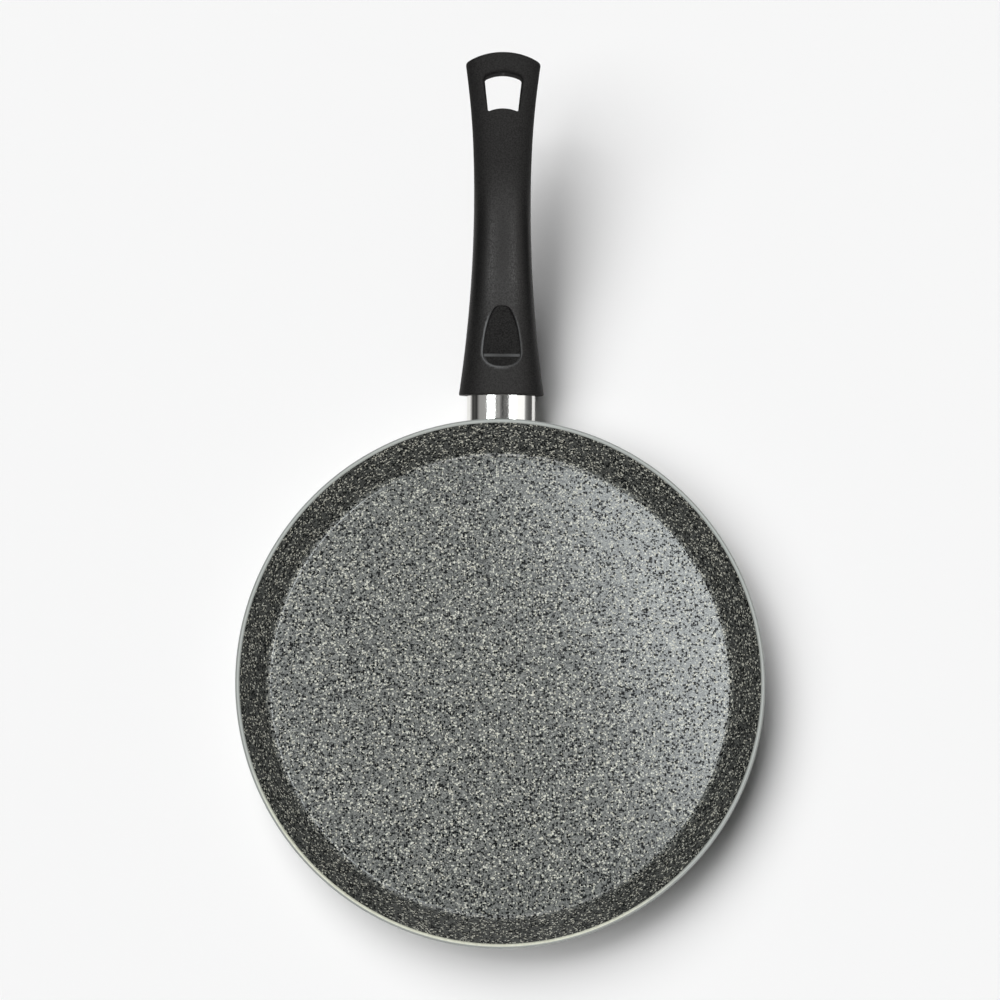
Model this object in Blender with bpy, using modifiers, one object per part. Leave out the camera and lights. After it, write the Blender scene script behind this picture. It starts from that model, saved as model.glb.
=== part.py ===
"""Griddle pan: a pressed aluminium pan with a low flared wall, and a moulded handle.

The pan carries a bracket on its outside wall. A polished flame guard slips over the bracket's
tongue, the handle slides on after it, and one screw from below holds them all together.

Units are metres and +Z is up. The origin is the centre of the pan's underside, and the handle
points along +Y.
"""

import math

import bmesh
import bpy
from mathutils import Vector


# Pan
PAN_DIAMETER = 0.260
PAN_HEIGHT = 0.025
BASE_THICKNESS = 0.0030
WALL_THICKNESS = 0.0023
COOKING_FLAT_DIAMETER = 0.2295
INNER_FILLET = 0.0030
OUTER_FILLET = 0.0060
PAN_STEPS = 96

# Turned grooves in the pan's underside
GROOVE_COUNT = 4
GROOVE_PITCH = 0.0180
GROOVE_FIRST_RADIUS = 0.0300
GROOVE_WIDTH = 0.0030
GROOVE_DEPTH = 0.0004

# Where the handle's axis meets the pan's outside wall, and how steeply it climbs
HANDLE_HEIGHT = 0.0132
ROOT_PITCH = math.radians(13.5)
END_PITCH = math.radians(18.5)

# Space between pieces that touch
SEAT_GAP = 0.0003

# Bracket: a saddle plate on the wall with a tongue that enters the handle
SADDLE_WIDTH = 0.0240
SADDLE_HEIGHT = 0.0105
SADDLE_THICKNESS = 0.0020
TONGUE_WIDTH = 0.0150
TONGUE_THICKNESS = 0.0050
TONGUE_REACH = 0.0360
TONGUE_EDGE = 0.0006

# Flame guard
GUARD_WIDTH = 0.0352
GUARD_HEIGHT = 0.0178
GUARD_WALL = 0.0008
GUARD_SHOWING = 0.0199
GUARD_SEAT_DEPTH = 0.0060
GUARD_POWER = 2.3
GUARD_POINTS = 56

# Handle grip, along its curved centre line from the end by the pan
GRIP_LENGTH = 0.1735
ROOT_WIDTH = 0.0437
NECK_WIDTH = 0.0290
END_WIDTH = 0.0382
NECK_FROM_ROOT = 0.1014
ROOT_DEPTH = 0.0250
NECK_DEPTH = 0.0172
PALM_DEPTH = 0.0186
END_DEPTH = 0.0135
NECK_DEPTH_FROM_ROOT = 0.0694
PALM_FROM_ROOT = 0.1094
END_DEPTH_FROM_ROOT = 0.1614
UPPER_SHARE = 0.47
UPPER_POWER = 2.5
LOWER_POWER = 2.2
SECTION_SPREAD = 0.83
SECTION_SPANS = 22
RING_PITCH = 0.0040
ROOT_ROUND = 0.0010
END_ARCH_RADIUS = 0.0380
END_ARCH_FADE = 0.0500
END_ROUND = 0.0016
SIDE_SHARE = 0.6
ROUND_STEPS = 3

# Hanging hole: an arched, tapered opening right through the grip
HOLE_FROM_END = 0.0192
HOLE_LENGTH = 0.0178
HOLE_WIDTH_NEAR = 0.0152
HOLE_WIDTH_FAR = 0.0190
HOLE_CORNER_NEAR = 0.0010
HOLE_CORNER_FAR = 0.0011
HOLE_ARCH_RADIUS = 0.0190
HOLE_LIP_FAR = 0.0021
HOLE_LIP_NEAR = 0.0007
HOLE_LIP_LOWER = 0.0010
HOLE_LIP_ANGLES = (20, 45, 70, 90)
HOLE_LIP_RUNOUT = 0.0004
HOLE_CORNER_STEPS = 4
HOLE_SIDE_STEPS = 8

# Thumb rest: a scoop in the top with a flat facet at the end by the pan
REST_WIDEST_FROM_ROOT = 0.0214
REST_HALF_WIDTH = 0.0105
REST_REACH_OUT = 0.0250
REST_REACH_IN = 0.0076
REST_OUT_POWERS = (1.4, 3.4)
REST_IN_POWER = 2.2
REST_DEPTH_FLOOR = 0.0026
REST_DEPTH_CREASE = 0.0020
REST_DEPTH_EDGE = 0.0004
REST_CREASE_FROM_ROOT = 0.0202
REST_WALL_RADIUS = 0.0200
REST_DRAFT = 0.0003
REST_STEPS = 11

# Screw and washer, driven in from below
SCREW_FROM_ROOT = 0.0270
SCREW_THREAD_DIAMETER = 0.0050
SCREW_HEAD_DIAMETER = 0.0090
SCREW_HEAD_HEIGHT = 0.0030
SCREW_HEAD_ROUND = 0.0010
SCREW_SLOT_WIDTH = 0.0011
SCREW_SLOT_LENGTH = 0.0052
SCREW_SLOT_DEPTH = 0.0016
SCREW_HEAD_SUNK = 0.0020
SCREW_HEAD_CLEARANCE = 0.0004
SCREW_PAST_TONGUE = 0.0010
WASHER_THICKNESS = 0.0010
WASHER_SPLIT = 0.0008
SCREW_STEPS = 32

# How far a cutter runs past the piece that it cuts
OVERRUN = 0.0040


def clear_scene():
    for item in list(bpy.data.objects):
        bpy.data.objects.remove(item, do_unlink=True)


def make_collection(name):
    collection = bpy.data.collections.new(name)
    bpy.context.scene.collection.children.link(collection)
    return collection


def make_material(name, color, roughness, metallic):
    material = bpy.data.materials.new(name)
    material.use_nodes = True
    shader = material.node_tree.nodes["Principled BSDF"]
    shader.inputs["Base Color"].default_value = (*color, 1.0)
    shader.inputs["Roughness"].default_value = roughness
    shader.inputs["Metallic"].default_value = metallic
    material.diffuse_color = (*color, 1.0)
    return material


def make_object(name, shape, collection, material=None, parent=None):
    """Turn a bmesh into an object, and free the bmesh."""
    mesh = bpy.data.meshes.new(name)
    shape.to_mesh(mesh)
    shape.free()
    item = bpy.data.objects.new(name, mesh)
    collection.objects.link(item)
    item.parent = parent
    if material is not None:
        mesh.materials.append(material)
    return item


def make_cutter(name, shape, collection, parent=None):
    cutter = make_object(name, shape, collection, parent=parent)
    cutter.hide_render = True
    cutter.display_type = "WIRE"
    return cutter


def cut(item, cutter, operation="DIFFERENCE"):
    boolean = item.modifiers.new(cutter.name, "BOOLEAN")
    boolean.operation = operation
    boolean.solver = "EXACT"
    boolean.object = cutter


def shade_round(item, angle):
    item.data.shade_smooth()
    item.data.set_sharp_from_angle(angle=math.radians(angle))


def arc_points(center, radius, start, end, steps):
    """Points on an arc from one angle to another, both ends included."""
    points = []
    for index in range(steps + 1):
        angle = start + (end - start) * index / steps
        points.append((center[0] + radius * math.cos(angle), center[1] + radius * math.sin(angle)))
    return points


def profile_shape(points, closed=False):
    """A line of (radius, height) points as edges in the XZ plane, ready for a Screw modifier."""
    shape = bmesh.new()
    verts = [shape.verts.new((radius, 0.0, height)) for radius, height in points]
    for first, second in zip(verts, verts[1:]):
        shape.edges.new((first, second))
    if closed:
        shape.edges.new((verts[-1], verts[0]))
    return shape


def spin_profile(item, steps):
    screw = item.modifiers.new("turn", "SCREW")
    screw.axis = "Z"
    screw.angle = math.tau
    screw.steps = steps
    screw.render_steps = steps
    screw.use_merge_vertices = True
    screw.merge_threshold = 0.00001
    screw.use_smooth_shade = True


def ease(amount):
    """Run smoothly from 0 to 1, level at both ends."""
    amount = min(max(amount, 0.0), 1.0)
    return amount * amount * (3.0 - 2.0 * amount)


# The pan's wall lies along one straight line between the inner fillet and the rounded rim.

def wall_flare():
    """Angle of the wall above the floor, so that it runs smoothly into fillet and rim."""
    rim = rim_center()
    fillet = inner_fillet_center()
    across = rim[0] - fillet[0]
    up = rim[1] - fillet[1]
    tangent = (INNER_FILLET + WALL_THICKNESS / 2) / math.hypot(across, up)
    return math.atan2(up, across) + math.asin(tangent)


def rim_center():
    return (PAN_DIAMETER / 2 - WALL_THICKNESS / 2, PAN_HEIGHT - WALL_THICKNESS / 2)


def inner_fillet_center():
    return (COOKING_FLAT_DIAMETER / 2, BASE_THICKNESS + INNER_FILLET)


def outer_fillet_center():
    """The outer fillet touches the underside and the outside of the wall."""
    flare = wall_flare()
    rim = rim_center()
    reach = WALL_THICKNESS / 2 - OUTER_FILLET
    across = (reach + (OUTER_FILLET - rim[1]) * math.cos(flare)) / math.sin(flare)
    return (rim[0] + across, OUTER_FILLET)


def outer_side(grow=0.0):
    """The outside of the pan from the rim's side down to the underside, moved out by grow."""
    facing = wall_flare() - math.pi / 2
    points = arc_points(rim_center(), WALL_THICKNESS / 2 + grow, 0.0, facing, 2)
    points += arc_points(outer_fillet_center(), OUTER_FILLET + grow, facing, -math.pi / 2, 5)
    return points


def wall_radius_at(height):
    """Radius of the outside wall at a height on its straight part."""
    flare = wall_flare()
    rim = rim_center()
    side = WALL_THICKNESS / 2
    foot = (rim[0] + side * math.sin(flare), rim[1] - side * math.cos(flare))
    return foot[0] + (height - foot[1]) / math.tan(flare)


def pan_profile():
    facing = wall_flare() - math.pi / 2
    points = [(0.0, BASE_THICKNESS)]
    points += arc_points(inner_fillet_center(), INNER_FILLET, -math.pi / 2, facing, 5)
    points += arc_points(rim_center(), WALL_THICKNESS / 2, facing + math.pi, 0.0, 5)
    points += outer_side()[1:]
    for index in reversed(range(GROOVE_COUNT)):
        middle = GROOVE_FIRST_RADIUS + index * GROOVE_PITCH
        outer = middle + GROOVE_WIDTH / 2
        inner = middle - GROOVE_WIDTH / 2
        points += [(outer, 0.0), (outer - GROOVE_DEPTH, GROOVE_DEPTH)]
        points += [(inner + GROOVE_DEPTH, GROOVE_DEPTH), (inner, 0.0)]
    points.append((0.0, 0.0))
    return points


def make_pan_body(collection):
    material = make_material("lacquered_aluminium", (0.33, 0.35, 0.33), 0.4, 0.3)
    pan = make_object("pan_body", profile_shape(pan_profile()), collection, material)
    spin_profile(pan, PAN_STEPS)
    shade_round(pan, 35)
    return pan


def make_wall_cutter(name, grow, collection):
    """All the space inside the pan's outside wall, moved out by grow."""
    top = PAN_HEIGHT + OVERRUN
    side = outer_side(grow)
    points = [(0.0, top), (side[0][0], top)] + side + [(0.0, side[-1][1])]
    cutter = make_cutter(name, profile_shape(points), collection)
    spin_profile(cutter, PAN_STEPS)
    return cutter


def make_handle_axis(collection):
    """An empty on the outside wall. Its Y axis is the straight axis of bracket and guard."""
    axis = bpy.data.objects.new("handle_axis", None)
    axis.empty_display_size = 0.02
    axis.location = (0.0, wall_radius_at(HANDLE_HEIGHT), HANDLE_HEIGHT)
    axis.rotation_euler = (ROOT_PITCH, 0.0, 0.0)
    collection.objects.link(axis)
    return axis


def box_shape(low, high):
    """A box between two corners."""
    shape = bmesh.new()
    bmesh.ops.create_cube(shape, size=1.0)
    low = Vector(low)
    high = Vector(high)
    bmesh.ops.scale(shape, vec=high - low, verts=shape.verts)
    bmesh.ops.translate(shape, vec=(low + high) / 2, verts=shape.verts)
    return shape


def rod_shape(radius, low, high, x, y, steps):
    """An upright rod between two heights."""
    shape = bmesh.new()
    bmesh.ops.create_cone(
        shape, cap_ends=True, segments=steps, radius1=radius, radius2=radius, depth=high - low
    )
    bmesh.ops.translate(shape, vec=(x, y, (low + high) / 2), verts=shape.verts)
    return shape


def oval_ring(width, height, power, count):
    """Points (x, z) round a superellipse."""
    points = []
    for index in range(count):
        angle = math.tau * index / count
        x = math.copysign(abs(math.cos(angle)) ** (2 / power), math.cos(angle))
        z = math.copysign(abs(math.sin(angle)) ** (2 / power), math.sin(angle))
        points.append((x * width / 2, z * height / 2))
    return points


def oval_bar_shape(width, height, start, end):
    """A solid bar with the guard's oval section, along Y."""
    shape = bmesh.new()
    ring = oval_ring(width, height, GUARD_POWER, GUARD_POINTS)
    verts = [shape.verts.new((x, start, z)) for x, z in ring]
    face = shape.faces.new(verts)
    swept = bmesh.ops.extrude_face_region(shape, geom=[face])
    moved = [part for part in swept["geom"] if isinstance(part, bmesh.types.BMVert)]
    bmesh.ops.translate(shape, vec=(0.0, end - start, 0.0), verts=moved)
    bmesh.ops.recalc_face_normals(shape, faces=shape.faces)
    return shape


def make_handle_bracket(collection, cutters, axis):
    """A saddle plate bent to the wall, with a flat tongue welded into it."""
    material = make_material("zinc_steel", (0.55, 0.56, 0.57), 0.35, 1.0)
    half = SADDLE_WIDTH / 2
    rise = SADDLE_HEIGHT / 2
    inward = make_wall_cutter("wall_under_saddle", SEAT_GAP, cutters)
    outward = make_wall_cutter("wall_over_saddle", SEAT_GAP + SADDLE_THICKNESS, cutters)

    plate_block = box_shape((-half, -OVERRUN, -rise), (half, 2 * OVERRUN, rise))
    bracket = make_object("handle_bracket", plate_block, collection, material, axis)
    corner = bracket.modifiers.new("corners", "BEVEL")
    corner.width = TONGUE_EDGE
    corner.segments = 2
    cut(bracket, outward, "INTERSECT")

    tongue_end = GUARD_SHOWING + TONGUE_REACH
    wide = TONGUE_WIDTH / 2
    thick = TONGUE_THICKNESS / 2
    tongue = make_cutter(
        "tongue_bar", box_shape((-wide, -OVERRUN, -thick), (wide, tongue_end, thick)), cutters, axis
    )
    edge = tongue.modifiers.new("edges", "BEVEL")
    edge.width = TONGUE_EDGE
    edge.segments = 2
    cut(bracket, tongue, "UNION")
    cut(bracket, inward)

    hole = rod_shape(
        SCREW_THREAD_DIAMETER / 2 + SEAT_GAP, -OVERRUN, OVERRUN, 0.0, screw_place(), SCREW_STEPS
    )
    cut(bracket, make_cutter("tongue_hole", hole, cutters, axis))
    shade_round(bracket, 30)
    return bracket


def make_flame_guard(collection, cutters, axis):
    """A polished oval sleeve, scribed to the pan's wall and let into the grip."""
    material = make_material("polished_steel", (0.72, 0.72, 0.70), 0.08, 1.0)
    shape = bmesh.new()
    ring = oval_ring(GUARD_WIDTH, GUARD_HEIGHT, GUARD_POWER, GUARD_POINTS)
    end = GUARD_SHOWING + GUARD_SEAT_DEPTH - SEAT_GAP
    verts = [shape.verts.new((x, -2 * OVERRUN, z)) for x, z in ring]
    edges = [shape.edges.new((verts[index - 1], verts[index])) for index in range(len(verts))]
    swept = bmesh.ops.extrude_edge_only(shape, edges=edges)
    moved = [part for part in swept["geom"] if isinstance(part, bmesh.types.BMVert)]
    bmesh.ops.translate(shape, vec=(0.0, end + 2 * OVERRUN, 0.0), verts=moved)
    bmesh.ops.recalc_face_normals(shape, faces=shape.faces)
    guard = make_object("flame_guard", shape, collection, material, axis)
    wall = guard.modifiers.new("wall", "SOLIDIFY")
    wall.thickness = GUARD_WALL
    wall.offset = -1.0
    wall.use_even_offset = True
    cut(guard, make_wall_cutter("wall_under_guard", SEAT_GAP, cutters))
    shade_round(guard, 30)
    return guard


# The grip is laid out along its centre line: s runs along it from the end by the pan, x runs
# across and n stands up from it.

def bend_radius():
    return GRIP_LENGTH / (END_PITCH - ROOT_PITCH)


def place(s, x, n):
    """A point of the grip in the handle axis's own frame."""
    radius = bend_radius()
    turn = s / radius
    y = GUARD_SHOWING + (radius - n) * math.sin(turn)
    z = radius - (radius - n) * math.cos(turn)
    return Vector((x, y, z))


def grip_half_width(s):
    """The sides are two parabolas that meet at the neck."""
    away = s - NECK_FROM_ROOT
    if away < 0:
        share = (away / NECK_FROM_ROOT) ** 2
        return (NECK_WIDTH + (ROOT_WIDTH - NECK_WIDTH) * share) / 2
    share = (away / (GRIP_LENGTH - NECK_FROM_ROOT)) ** 2
    return (NECK_WIDTH + (END_WIDTH - NECK_WIDTH) * share) / 2


def grip_depth(s):
    """Full depth: thick at the root, slim at the neck, a little swell in the palm, thin end."""
    if s < NECK_DEPTH_FROM_ROOT:
        return ROOT_DEPTH + (NECK_DEPTH - ROOT_DEPTH) * ease(s / NECK_DEPTH_FROM_ROOT)
    if s < PALM_FROM_ROOT:
        share = (s - NECK_DEPTH_FROM_ROOT) / (PALM_FROM_ROOT - NECK_DEPTH_FROM_ROOT)
        return NECK_DEPTH + (PALM_DEPTH - NECK_DEPTH) * ease(share)
    share = (s - PALM_FROM_ROOT) / (END_DEPTH_FROM_ROOT - PALM_FROM_ROOT)
    return PALM_DEPTH + (END_DEPTH - PALM_DEPTH) * ease(share)


def grip_surface(s, x, upper, inset=0.0):
    """Height of the grip's top or underside above its centre line."""
    half = grip_half_width(s) - inset * SIDE_SHARE
    power = UPPER_POWER if upper else LOWER_POWER
    share = UPPER_SHARE if upper else UPPER_SHARE - 1.0
    across = min(abs(x) / half, 1.0)
    fall = (1.0 - across ** power) ** (1.0 / power)
    rise = grip_depth(s) * share - math.copysign(inset, share)
    return rise * fall


def end_arch(s, x):
    """How far a ring bulges along the grip, growing towards the arched free end."""
    half = grip_half_width(GRIP_LENGTH)
    x = min(abs(x), half)
    bulge = math.sqrt(END_ARCH_RADIUS ** 2 - x * x) - END_ARCH_RADIUS
    return bulge * ease((s - GRIP_LENGTH + END_ARCH_FADE) / END_ARCH_FADE)


def grip_ring(s, inset):
    """One section of the grip: the top from +X to -X, then the underside back."""
    half = grip_half_width(s) - inset * SIDE_SHARE
    top = []
    bottom = []
    for index in range(SECTION_SPANS + 1):
        angle = math.pi * index / SECTION_SPANS
        x = half * math.copysign(abs(math.cos(angle)) ** SECTION_SPREAD, math.cos(angle))
        along = s + end_arch(s, x)
        top.append(place(along, x, grip_surface(s, x, True, inset)))
        if 0 < index < SECTION_SPANS:
            bottom.append(place(along, x, grip_surface(s, x, False, inset)))
    return top + bottom[::-1]


def rounded_edge(radius):
    """Pairs of advance and inset over a quarter round, from the side to the end face."""
    pairs = []
    for index in range(1, ROUND_STEPS + 1):
        angle = math.pi / 2 * index / ROUND_STEPS
        pairs.append((radius * math.sin(angle), radius * (1.0 - math.cos(angle))))
    return pairs


def grip_stations():
    """Pairs of distance along the grip and inset, with both ends rounded off."""
    first = ROOT_ROUND
    last = GRIP_LENGTH - END_ROUND
    count = round((last - first) / RING_PITCH)
    stations = [(first - advance, inset) for advance, inset in reversed(rounded_edge(ROOT_ROUND))]
    stations += [(first + (last - first) * index / count, 0.0) for index in range(count + 1)]
    stations += [(last + advance, inset) for advance, inset in rounded_edge(END_ROUND)]
    return stations


def close_ring(shape, ring):
    """Close a section with strips that join each point to the one straight across."""
    count = len(ring)
    for index in range(count // 2):
        corners = (ring[index], ring[index + 1], ring[count - index - 1], ring[(count - index) % count])
        shape.faces.new(dict.fromkeys(corners))


def loft(shape, rings):
    """Join equal rings of points by quads, and return the rings of vertices."""
    loops = [[shape.verts.new(point) for point in ring] for ring in rings]
    for near, far in zip(loops, loops[1:]):
        count = len(near)
        for index in range(count):
            after = (index + 1) % count
            shape.faces.new((near[index], near[after], far[after], far[index]))
    return loops


def grip_shape():
    shape = bmesh.new()
    rings = [grip_ring(s, inset) for s, inset in grip_stations()]
    loops = loft(shape, rings)
    shape.faces.new(loops[0])
    close_ring(shape, loops[-1])
    bmesh.ops.recalc_face_normals(shape, faces=shape.faces)
    return shape


def hole_outline(grow_far, grow_near):
    """Points (x, s) round the hanging hole, moved out by its lip.

    It is a rounded rectangle that narrows towards the pan, bent along the arch of the end.
    """
    half = HOLE_LENGTH / 2
    mean = (HOLE_WIDTH_NEAR + HOLE_WIDTH_FAR) / 4
    far_in = HOLE_CORNER_FAR
    near_in = HOLE_CORNER_NEAR
    centers = [(mean - far_in, half - far_in), (far_in - mean, half - far_in)]
    centers += [(near_in - mean, near_in - half), (mean - near_in, near_in - half)]
    radii = [far_in + grow_far] * 2 + [near_in + grow_near] * 2
    corners = []
    for quarter, (center, radius) in enumerate(zip(centers, radii)):
        start = math.pi / 2 * quarter
        corners.append(arc_points(center, radius, start, start + math.pi / 2, HOLE_CORNER_STEPS))
    outline = []
    for arc, after in zip(corners, corners[1:] + corners[:1]):
        outline += arc
        for step in range(1, HOLE_SIDE_STEPS):
            outline.append(Vector(arc[-1]).lerp(after[0], step / HOLE_SIDE_STEPS))
    points = []
    for x, along in outline:
        share = (along + half) / HOLE_LENGTH
        width = HOLE_WIDTH_NEAR + (HOLE_WIDTH_FAR - HOLE_WIDTH_NEAR) * share
        x = x * width / (2 * mean)
        bulge = math.sqrt(HOLE_ARCH_RADIUS ** 2 - x * x) - HOLE_ARCH_RADIUS
        points.append((x, GRIP_LENGTH - HOLE_FROM_END + along + bulge))
    return points


def hole_face_rings(upper, far, near):
    """Rings of the cutter at one face of the grip, from clear outside it to the plain wall."""
    out = 1.0 if upper else -1.0
    rings = []
    for degrees in HOLE_LIP_ANGLES:
        angle = math.radians(degrees)
        curl = 1.0 - math.sin(angle)
        drop = (1.0 - math.cos(angle)) * far
        outline = hole_outline(far * curl, near * curl)
        rings.append([place(s, x, grip_surface(s, x, upper) - out * drop) for x, s in outline])
    first = math.radians(HOLE_LIP_ANGLES[0])
    flare = HOLE_LIP_RUNOUT / math.tan(first)
    curl = 1.0 - math.sin(first)
    outline = hole_outline(far * curl + flare, near * curl + flare)
    skim = [place(s, x, grip_surface(s, x, upper) + out * HOLE_LIP_RUNOUT) for x, s in outline]
    clear = [place(s, x, out * (grip_depth(s) / 2 + OVERRUN)) for x, s in outline]
    return [clear, skim] + rings


def hanging_hole_shape():
    """A through cutter whose walls curl outwards to leave a rounded lip on both faces."""
    shape = bmesh.new()
    rings = hole_face_rings(True, HOLE_LIP_FAR, HOLE_LIP_NEAR)
    rings += hole_face_rings(False, HOLE_LIP_LOWER, HOLE_LIP_LOWER)[::-1]
    loops = loft(shape, rings)
    shape.faces.new(loops[0])
    shape.faces.new(loops[-1])
    bmesh.ops.recalc_face_normals(shape, faces=shape.faces)
    return shape


def rest_half_width(s):
    """Half the width of the thumb rest: a tall arch with a rounded foot."""
    away = s - REST_WIDEST_FROM_ROOT
    if away >= 0:
        share = away / REST_REACH_OUT
        fall, root = REST_OUT_POWERS
    else:
        share = -away / REST_REACH_IN
        fall, root = REST_IN_POWER, REST_IN_POWER
    return REST_HALF_WIDTH * max(1.0 - share ** fall, 0.0) ** (1.0 / root)


def rest_depth(s):
    """Depth of the scoop's floor below the grip's top line."""
    far = REST_WIDEST_FROM_ROOT + REST_REACH_OUT
    near = REST_WIDEST_FROM_ROOT - REST_REACH_IN
    climb = REST_DEPTH_FLOOR - REST_DEPTH_EDGE
    foot = far - math.sqrt(climb * (2 * REST_WALL_RADIUS - climb))
    if s > foot:
        return REST_DEPTH_FLOOR - REST_WALL_RADIUS + math.sqrt(REST_WALL_RADIUS ** 2 - (s - foot) ** 2)
    if s > REST_CREASE_FROM_ROOT:
        share = (s - REST_CREASE_FROM_ROOT) / (foot - REST_CREASE_FROM_ROOT)
        return REST_DEPTH_CREASE + (REST_DEPTH_FLOOR - REST_DEPTH_CREASE) * share
    share = (s - near) / (REST_CREASE_FROM_ROOT - near)
    return REST_DEPTH_EDGE + (REST_DEPTH_CREASE - REST_DEPTH_EDGE) * share


def thumb_rest_shape():
    """A cutter with the arch for its outline and the scoop's side view for its floor."""
    shape = bmesh.new()
    stops = [REST_CREASE_FROM_ROOT]
    for index in range(REST_STEPS + 1):
        share = math.sin(math.pi / 2 * index / REST_STEPS)
        stops.append(REST_WIDEST_FROM_ROOT + REST_REACH_OUT * share)
        if 0 < index < REST_STEPS:
            stops.append(REST_WIDEST_FROM_ROOT - REST_REACH_IN * share)
    stops.append(REST_WIDEST_FROM_ROOT - REST_REACH_IN)
    stops = sorted(set(stops))
    above = []
    floor = []
    for s in stops + stops[-2:0:-1]:
        side = -1.0 if len(above) >= len(stops) else 1.0
        half = rest_half_width(s)
        above.append(place(s, side * half, grip_depth(s) / 2 + OVERRUN))
        level = grip_surface(s, 0.0, True) - rest_depth(s)
        floor.append(place(s, side * max(half - REST_DRAFT, 0.0), level))
    loops = loft(shape, [above, floor])
    close_ring(shape, loops[0])
    close_ring(shape, loops[1])
    bmesh.ops.recalc_face_normals(shape, faces=shape.faces)
    return shape


def screw_place():
    """Distance of the screw along the handle's axis from the pan's wall."""
    return GUARD_SHOWING + SCREW_FROM_ROOT


def screw_head_low():
    """Height of the underside of the screw's head, sunk below the grip's underside."""
    return place(SCREW_FROM_ROOT, 0.0, grip_surface(SCREW_FROM_ROOT, 0.0, False)).z + SCREW_HEAD_SUNK


def screw_head_high():
    return screw_head_low() + SCREW_HEAD_HEIGHT


def screw_tip():
    return TONGUE_THICKNESS / 2 + SCREW_PAST_TONGUE


def make_handle_grip(collection, cutters, axis):
    material = make_material("black_phenolic", (0.018, 0.018, 0.018), 0.5, 0.0)
    grip = make_object("handle_grip", grip_shape(), collection, material, axis)
    cut(grip, make_cutter("hanging_hole", hanging_hole_shape(), cutters, axis))
    cut(grip, make_cutter("thumb_rest", thumb_rest_shape(), cutters, axis))

    wide = GUARD_WIDTH + 2 * SEAT_GAP
    high = GUARD_HEIGHT + 2 * SEAT_GAP
    seat_end = GUARD_SHOWING + GUARD_SEAT_DEPTH
    seat = oval_bar_shape(wide, high, GUARD_SHOWING - OVERRUN, seat_end)
    cut(grip, make_cutter("guard_seat", seat, cutters, axis))

    half = TONGUE_WIDTH / 2 + SEAT_GAP
    rise = TONGUE_THICKNESS / 2 + SEAT_GAP
    socket_end = GUARD_SHOWING + TONGUE_REACH + SEAT_GAP
    socket = box_shape((-half, seat_end - OVERRUN, -rise), (half, socket_end, rise))
    cut(grip, make_cutter("tongue_socket", socket, cutters, axis))

    place_y = screw_place()
    shoulder = screw_head_high() + WASHER_THICKNESS + 2 * SEAT_GAP
    sink = rod_shape(SCREW_HEAD_DIAMETER / 2 + SCREW_HEAD_CLEARANCE, screw_head_low() - OVERRUN,
                     shoulder, 0.0, place_y, SCREW_STEPS)
    cut(grip, make_cutter("screw_sink", sink, cutters, axis))
    bore = rod_shape(SCREW_THREAD_DIAMETER / 2 + SEAT_GAP, shoulder - OVERRUN / 2,
                     screw_tip() + SEAT_GAP, 0.0, place_y, SCREW_STEPS)
    cut(grip, make_cutter("screw_bore", bore, cutters, axis))
    shade_round(grip, 28)
    return grip


def make_handle_screw(collection, cutters, axis):
    """A round-headed screw with a cross recess. Its thread is left plain."""
    material = make_material("zinc_screw", (0.6, 0.6, 0.58), 0.3, 1.0)
    thread = SCREW_THREAD_DIAMETER / 2
    head = SCREW_HEAD_DIAMETER / 2
    low = screw_head_low()
    high = screw_head_high()
    bevel = thread / 4
    points = [(0.0, screw_tip()), (thread - bevel, screw_tip()), (thread, screw_tip() - bevel)]
    points += [(thread, high), (head, high)]
    round_center = (head - SCREW_HEAD_ROUND, low + SCREW_HEAD_ROUND)
    points += arc_points(round_center, SCREW_HEAD_ROUND, 0.0, -math.pi / 2, 3)
    points.append((0.0, low))
    screw = make_object("handle_screw", profile_shape(points), collection, material, axis)
    screw.location = (0.0, screw_place(), 0.0)
    spin_profile(screw, SCREW_STEPS)
    arm = SCREW_SLOT_LENGTH / 2
    slot = SCREW_SLOT_WIDTH / 2
    for name, x, y in (("slot_across", arm, slot), ("slot_along", slot, arm)):
        shape = box_shape((-x, -y, low - OVERRUN), (x, y, low + SCREW_SLOT_DEPTH))
        cutter = make_cutter(name, shape, cutters, axis)
        cutter.location = screw.location
        cut(screw, cutter)
    shade_round(screw, 40)
    return screw


def make_lock_washer(collection, cutters, axis):
    """A split spring washer between the screw's head and the shoulder of its hole."""
    material = make_material("spring_steel", (0.35, 0.35, 0.36), 0.4, 1.0)
    outer = SCREW_HEAD_DIAMETER / 2
    inner = SCREW_THREAD_DIAMETER / 2 + SEAT_GAP
    low = screw_head_high() + SEAT_GAP
    high = low + WASHER_THICKNESS
    points = [(outer, high), (outer, low), (inner, low), (inner, high)]
    washer = make_object("lock_washer", profile_shape(points, closed=True), collection, material, axis)
    washer.location = (0.0, screw_place(), 0.0)
    spin_profile(washer, SCREW_STEPS)
    half = WASHER_SPLIT / 2
    split = box_shape((-half, 0.0, low - OVERRUN / 4), (half, outer * 2, high + OVERRUN / 4))
    cutter = make_cutter("washer_split", split, cutters, axis)
    cutter.location = washer.location
    cut(washer, cutter)
    shade_round(washer, 40)
    return washer


def main():
    clear_scene()
    parts = make_collection("griddle_pan")
    cutters = make_collection("cutters")
    axis = make_handle_axis(parts)
    make_pan_body(parts)
    make_handle_bracket(parts, cutters, axis)
    make_flame_guard(parts, cutters, axis)
    make_handle_grip(parts, cutters, axis)
    make_handle_screw(parts, cutters, axis)
    make_lock_washer(parts, cutters, axis)


main()
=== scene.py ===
"""Griddle pan: the finished look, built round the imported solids.

Lengths are metres. The origin is the centre of the pan's underside, the handle points along +Y
and +Z is up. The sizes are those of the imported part.
"""

import math

import bmesh
import bpy
from mathutils import Matrix, Vector


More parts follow.
